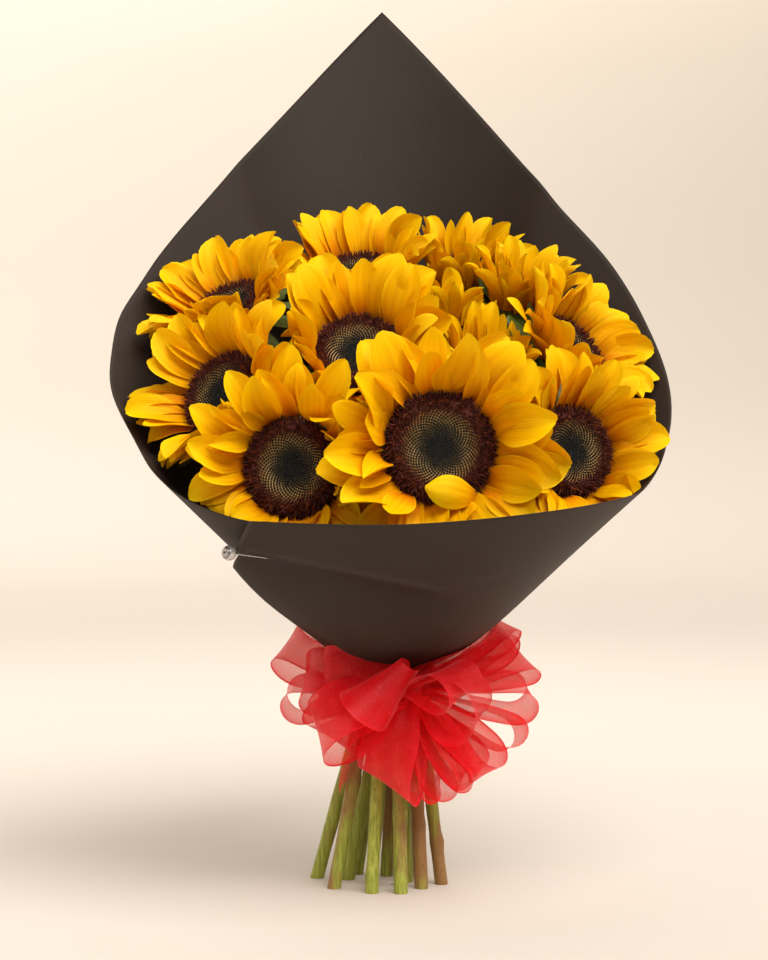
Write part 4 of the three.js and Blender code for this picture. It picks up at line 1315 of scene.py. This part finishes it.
def outside_wrap(points, room=1.6):
    """Moves points that would lie in the paper or the tie straight out from the neck's axis."""
    angle = np.degrees(np.arctan2(points[..., 0], points[..., 1]))
    out = np.hypot(points[..., 0], points[..., 1])
    height = points[..., 2]
    paper = np.where(height > PAPER_BOTTOM - 2, paper_radius(angle, height) + 2.4, 0)
    tie = np.where(np.abs(height - TIE_HEIGHT) < 10, TIE_OUTSIDE, 0)
    least = np.maximum(paper, tie) + room
    moved = points.copy()
    moved[..., :2] *= (np.maximum(out, least) / np.maximum(out, 1e-6))[..., None]
    return moved


def drop_curve(reach, opening, share):
    """A drop, as (ahead, aside): a straight line out that touches a circle of this opening, most
    of the way round the circle, and a straight line back, at even steps of its length."""
    middle = reach - opening
    lean = np.arcsin(opening / middle)
    line = np.sqrt(middle**2 - opening**2)
    arc = opening * (np.pi + 2 * lean)
    along = np.abs(share - 0.5) * (2 * line + arc)
    side = np.sign(share - 0.5)
    angle = np.minimum(along, arc / 2) / opening
    rest = np.maximum(along - arc / 2, 0)
    ahead = middle + opening * np.cos(angle) - rest * np.cos(lean)
    aside = opening * np.sin(angle) - rest * np.sin(lean)
    return ahead, side * aside


def ribbon_loop(tip, width, opening, root, cone, rows=49):
    """A drop-shaped path in the plane that stands square to the ribbon's width. Its length and
    its opening grow with v by the cone's share, so that the loop is part of a cone."""
    reach = np.linalg.norm(tip)
    direction = np.array(tip, float) / reach
    across = np.array(width, float)
    across = unit(across - (across @ direction) * direction)
    opens = np.cross(across, direction)
    t = np.linspace(0.02, 0.98, rows)
    wide, off = gathered(np.minimum(t, 1 - t), root)
    grown = 1 + cone * wide / RIBBON_HALF
    ahead, aside = drop_curve(reach * grown, opening * (1 + 2 * (grown - 1)), t[:, None])
    for line in (ahead, aside):
        for _ in range(4):
            line[1:-1] = (line[:-2] + 2 * line[1:-1] + line[2:]) / 4
    way = np.gradient(np.stack([ahead, aside]), axis=1)
    way /= np.hypot(*way)
    ahead += off * way[1]
    aside += 1.5 * np.sin(TAU * t[:, None] + opening) - off * way[0]
    across = across + direction * 0.1 * np.sin(TAU * t + opening)[:, None]
    spread = wide[..., None] * across[:, None]
    return KNOT + ahead[..., None] * direction + aside[..., None] * opens + spread


def ribbon_tail(tip, first, last, rows=32):
    """A hanging end: a gentle S whose width turns from one direction to another."""
    t = np.linspace(0.02, 1, rows)[:, None]
    ahead = unit(np.array(tip, float))
    aside = np.cross(ahead, unit(np.array(first, float)))
    path = KNOT + np.array(tip) * t + aside * 6 * np.sin(TAU * t) * t
    width = mix(np.array(first), np.array(last), t)
    return ribbon_grid(path, width, t[:, 0], 6)


def ribbon_band(turns=2.2, rows=190):
    """The ribbon round the neck, gathered to less than half its width in deep pleats."""
    t = np.linspace(0, 1, rows)[:, None]
    angle = TAU * turns * t
    v = np.linspace(-1, 1, 33)[None]
    fold = np.sin(v * 13 + 1.2 * np.sin(2 * angle) + 3 * t)
    radius = TIE_RADIUS + 0.5 * t + 0.75 * fold + 0.25 * np.sin(5 * angle + 4 * v)
    height = TIE_HEIGHT + v * 7.4 + 0.7 * np.sin(3 * angle + v)
    return np.stack([radius * np.sin(angle), radius * np.cos(angle), height], -1)


def knot_wrap(rows=40):
    """The end that is wound once over the middle of the bow."""
    angle = TAU * np.linspace(0, 1, rows)
    face = np.stack([0 * angle, 8.2 * np.cos(angle), 9.4 * np.sin(angle)], -1)
    v = np.linspace(-1, 1, 17)[None, :, None]
    pleat = 1 + 0.1 * np.cos(4 * np.pi * v)
    return KNOT + pleat * face[:, None] + 9.5 * v * np.array([1.0, 0, 0])


# %% The whole bow as one mesh
strips = [outside_wrap(ribbon_loop(*row)) for row in LOOPS]
strips += [outside_wrap(ribbon_tail(*row)) for row in TAILS]
strips += [knot_wrap(), ribbon_band()]
meshes, ribbon_length = [], 0.0
for number, grid in enumerate(strips):
    rows, columns, _ = grid.shape
    steps = np.linalg.norm(np.diff(grid[:, columns // 2], axis=0), axis=1)
    along = ribbon_length + np.concatenate([[0], np.cumsum(steps)])
    uv = np.stack(np.meshgrid(np.linspace(0, 1, columns), along), -1).reshape(-1, 2)
    close = np.full(rows * columns, CLOSE_WOVEN.get(number, 0.0))
    meshes.append((grid.reshape(-1, 3), [grid_faces(rows, columns)], uv, close))
    ribbon_length = along[-1]
print("ribbon length, mm:", round(ribbon_length))

points, groups, uv, close = joined(meshes)
bow = make_piece("organza_bow", points, groups, organza, uv, {"close": close})
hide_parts("bow", "ribbon_band")

# %% [markdown]
# ## The pin
# A florist's pin holds the lap: a glassy bead with a small steel dimple, and a thin steel shaft
# that goes through the paper. Both are turned shapes along the pin's own line, which is found
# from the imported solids.

# %% The bead and the shaft
def bead_finish():
    """Pearly glass with a bright ring round a small dark hole, from a number that grows from
    0 at the hole to 1 at the far end."""
    finish = Finish("pearl_bead", Roughness=0.14, Coat_Weight=0.8, Coat_Roughness=0.05, IOR=1.5)
    cloud = finish.noise(finish.place(), 300.0, 3.0)
    part = finish.number("part")
    pearl = finish.ramp(cloud, (0.35, (176, 168, 164)), (0.65, (226, 222, 218)))
    rings = finish.ramp(
        part, (0.0, (26, 22, 20)), (0.05, (40, 36, 34)), (0.07, (196, 192, 190)),
        (0.2, (150, 146, 146)), (0.27, (96, 92, 92)), (0.31, (214, 212, 212)),
    )
    body = finish.coats(rings, (part.step(0.3, 0.42), pearl))
    finish.set(Base_Color=body, Metallic=0.5 * (1 - part.step(0.3, 0.5)))
    return finish.material


def steel_finish():
    finish = Finish("polished_steel", Metallic=1.0)
    drawn = finish.noise(finish.place(), 900.0, 2.0)
    finish.set(Base_Color=finish.ramp(drawn, (0.3, (150, 148, 146)), (0.7, (206, 204, 202))))
    finish.set(Roughness=0.18 + 0.14 * drawn)
    return finish.material


def corners_of(node):
    """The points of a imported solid, in millimetres from the neck's axis."""
    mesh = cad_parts[node].data
    flat = np.zeros(len(mesh.vertices) * 3, np.float32)
    mesh.vertices.foreach_get("co", flat)
    return flat.reshape(-1, 3) / MM - NECK


bead_points, shaft_points = corners_of("pin_head"), corners_of("pin_shaft")
bead_middle = bead_points.mean(0)
shaft_tip = shaft_points[np.argmax(np.linalg.norm(shaft_points - bead_middle, axis=1))]
pin_way = unit(shaft_points.mean(0) - bead_middle)
BEAD_RADIUS = 4.4
print("bead at", bead_middle.round(1), "pin towards", pin_way.round(2))


def turned(profile, centre, way, segments):
    """A turned shape: rings of (radius, height) about a line through centre."""
    ways, spins = unit(way)[None], np.zeros(1)
    return stamped(profile, segments, centre[None], ways, spins, np.ones(1))


steps = np.linspace(0.0, np.pi, 33)
dent = 1 - 0.1 * np.exp(-((steps / 0.22) ** 2)) - 0.03 * np.exp(-(((steps - 0.85) / 0.1) ** 2))
ball = BEAD_RADIUS * dent[:, None] * np.stack([np.sin(steps), -np.cos(steps)], -1)
ball[[0, -1], 0] = 0.02
eye_way = unit(0.55 * -pin_way + 0.85 * np.array([0.0, -1.0, 0.05]))
points, groups = turned(ball, bead_middle, -eye_way, 40)
bead = make_piece(
    "pin_bead", points, groups, bead_finish(), values={"part": np.repeat(steps / np.pi, 40)},
)
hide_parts("pin_head")

shaft_length = float((shaft_tip - bead_middle) @ pin_way)
needle = [(0.42, 3.0), (0.42, shaft_length - 3), (0.2, shaft_length - 1), (0.03, shaft_length)]
collar = [(0.5, 3.6), (1.3, 3.9), (1.1, 4.6), (0.5, 5.1)]
steel = steel_finish()
sides = ((needle, 14), (collar, 24))
points, groups = joined([turned(shape, bead_middle, pin_way, count) for shape, count in sides])
shaft = make_piece("pin_needle", points, groups, steel, sharp=40)
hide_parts("pin_shaft")

# %% [markdown]
# ## The studio
# A plain cream floor that runs up into a wall a few metres away, all round, so that no view
# looks past its edge. Its tone is a little deeper with distance and up the wall. The main lamp is
# large and soft and stands to the front and right, with a low one further right. Two weak ones
# stand to the left and behind, and the world adds an even cream light.

# %% The room
def room_finish():
    finish = Finish("cream_floor", Roughness=0.8, Specular_IOR_Level=0.2)
    cloud = finish.noise(finish.place(), 0.9, 2.0)
    away = finish.node("ShaderNodeVectorMath", {"operation": "LENGTH"}, finish.place(), out=1)
    height = finish.node("ShaderNodeSeparateXYZ", None, finish.place(), out=2)
    finish.set(Base_Color=finish.coats(
        finish.ramp(cloud, (0.3, (205, 196, 187)), (0.7, (209, 201, 191))),
        (away.step(0.6, 2.6), (183, 175, 166)), (height.step(0.0, 0.6), (171, 163, 153)),
        (height.step(0.8, 1.9), (194, 185, 174)),
    ))
    return finish.material


ROOM_RADIUS = 5000
CORNER_RADIUS = 1500
WALL_HEIGHT = 3200.0
corner = np.linspace(0, np.pi / 2, 12)
FLAT_RADIUS = ROOM_RADIUS - CORNER_RADIUS
rounded = [(FLAT_RADIUS + CORNER_RADIUS * np.sin(a), CORNER_RADIUS - CORNER_RADIUS * np.cos(a))
           for a in corner[1:]]
flat = [(1.0, 0.0), (600.0, 0.0), (FLAT_RADIUS, 0.0)]
profile = np.array([*flat, *rounded, (ROOM_RADIUS, WALL_HEIGHT)])
turn = np.linspace(0, TAU, 64, endpoint=False)
points = np.stack([
    profile[:, :1] * np.cos(turn)[None], profile[:, :1] * np.sin(turn)[None],
    np.broadcast_to(profile[:, 1:], (len(profile), len(turn))),
], -1).reshape(-1, 3)
sides, centre_cap, _ = tube_faces(len(profile), len(turn))
floor_mesh = bpy.data.meshes.new("floor")
floor_mesh.from_pydata((points * MM).tolist(), [], sides.tolist() + centre_cap[:, ::-1].tolist())
floor_mesh.shade_smooth()
floor_mesh.materials.append(room_finish())
floor = bpy.data.objects.new("floor", floor_mesh)
bpy.context.scene.collection.objects.link(floor)
print("room", ROOM_RADIUS * MM, "m in radius")


# %% The lamps
def sun_lamp(name, side, up, strength, spread, tint):
    """A lamp at infinity, `side` degrees to the right of the front and `up` degrees high."""
    data = bpy.data.lights.new(name, "SUN")
    data.energy, data.angle, data.color = strength, np.radians(spread), tint
    lamp = bpy.data.objects.new(name, data)
    lamp.rotation_euler = (np.radians(90 - up), 0, np.radians(side))
    bpy.context.scene.collection.objects.link(lamp)


sun_lamp("key", 34, 41, 5.9, 64, (1.0, 0.975, 0.94))
sun_lamp("low", 66, 9, 2.1, 40, (1.0, 0.97, 0.93))
sun_lamp("fill", -30, 15, 0.5, 60, (1.0, 0.98, 0.96))
sun_lamp("back", 195, 34, 0.9, 90, (1.0, 0.98, 0.95))

world = bpy.data.worlds.new("studio")
world.use_nodes = True
sky = world.node_tree.nodes["Background"]
sky.inputs[0].default_value = colour(255, 246, 232)
sky.inputs[1].default_value = 0.6
bpy.context.scene.world = world
bpy.context.scene.view_settings.view_transform = "Standard"
print(len(bpy.data.lights), "lamps")
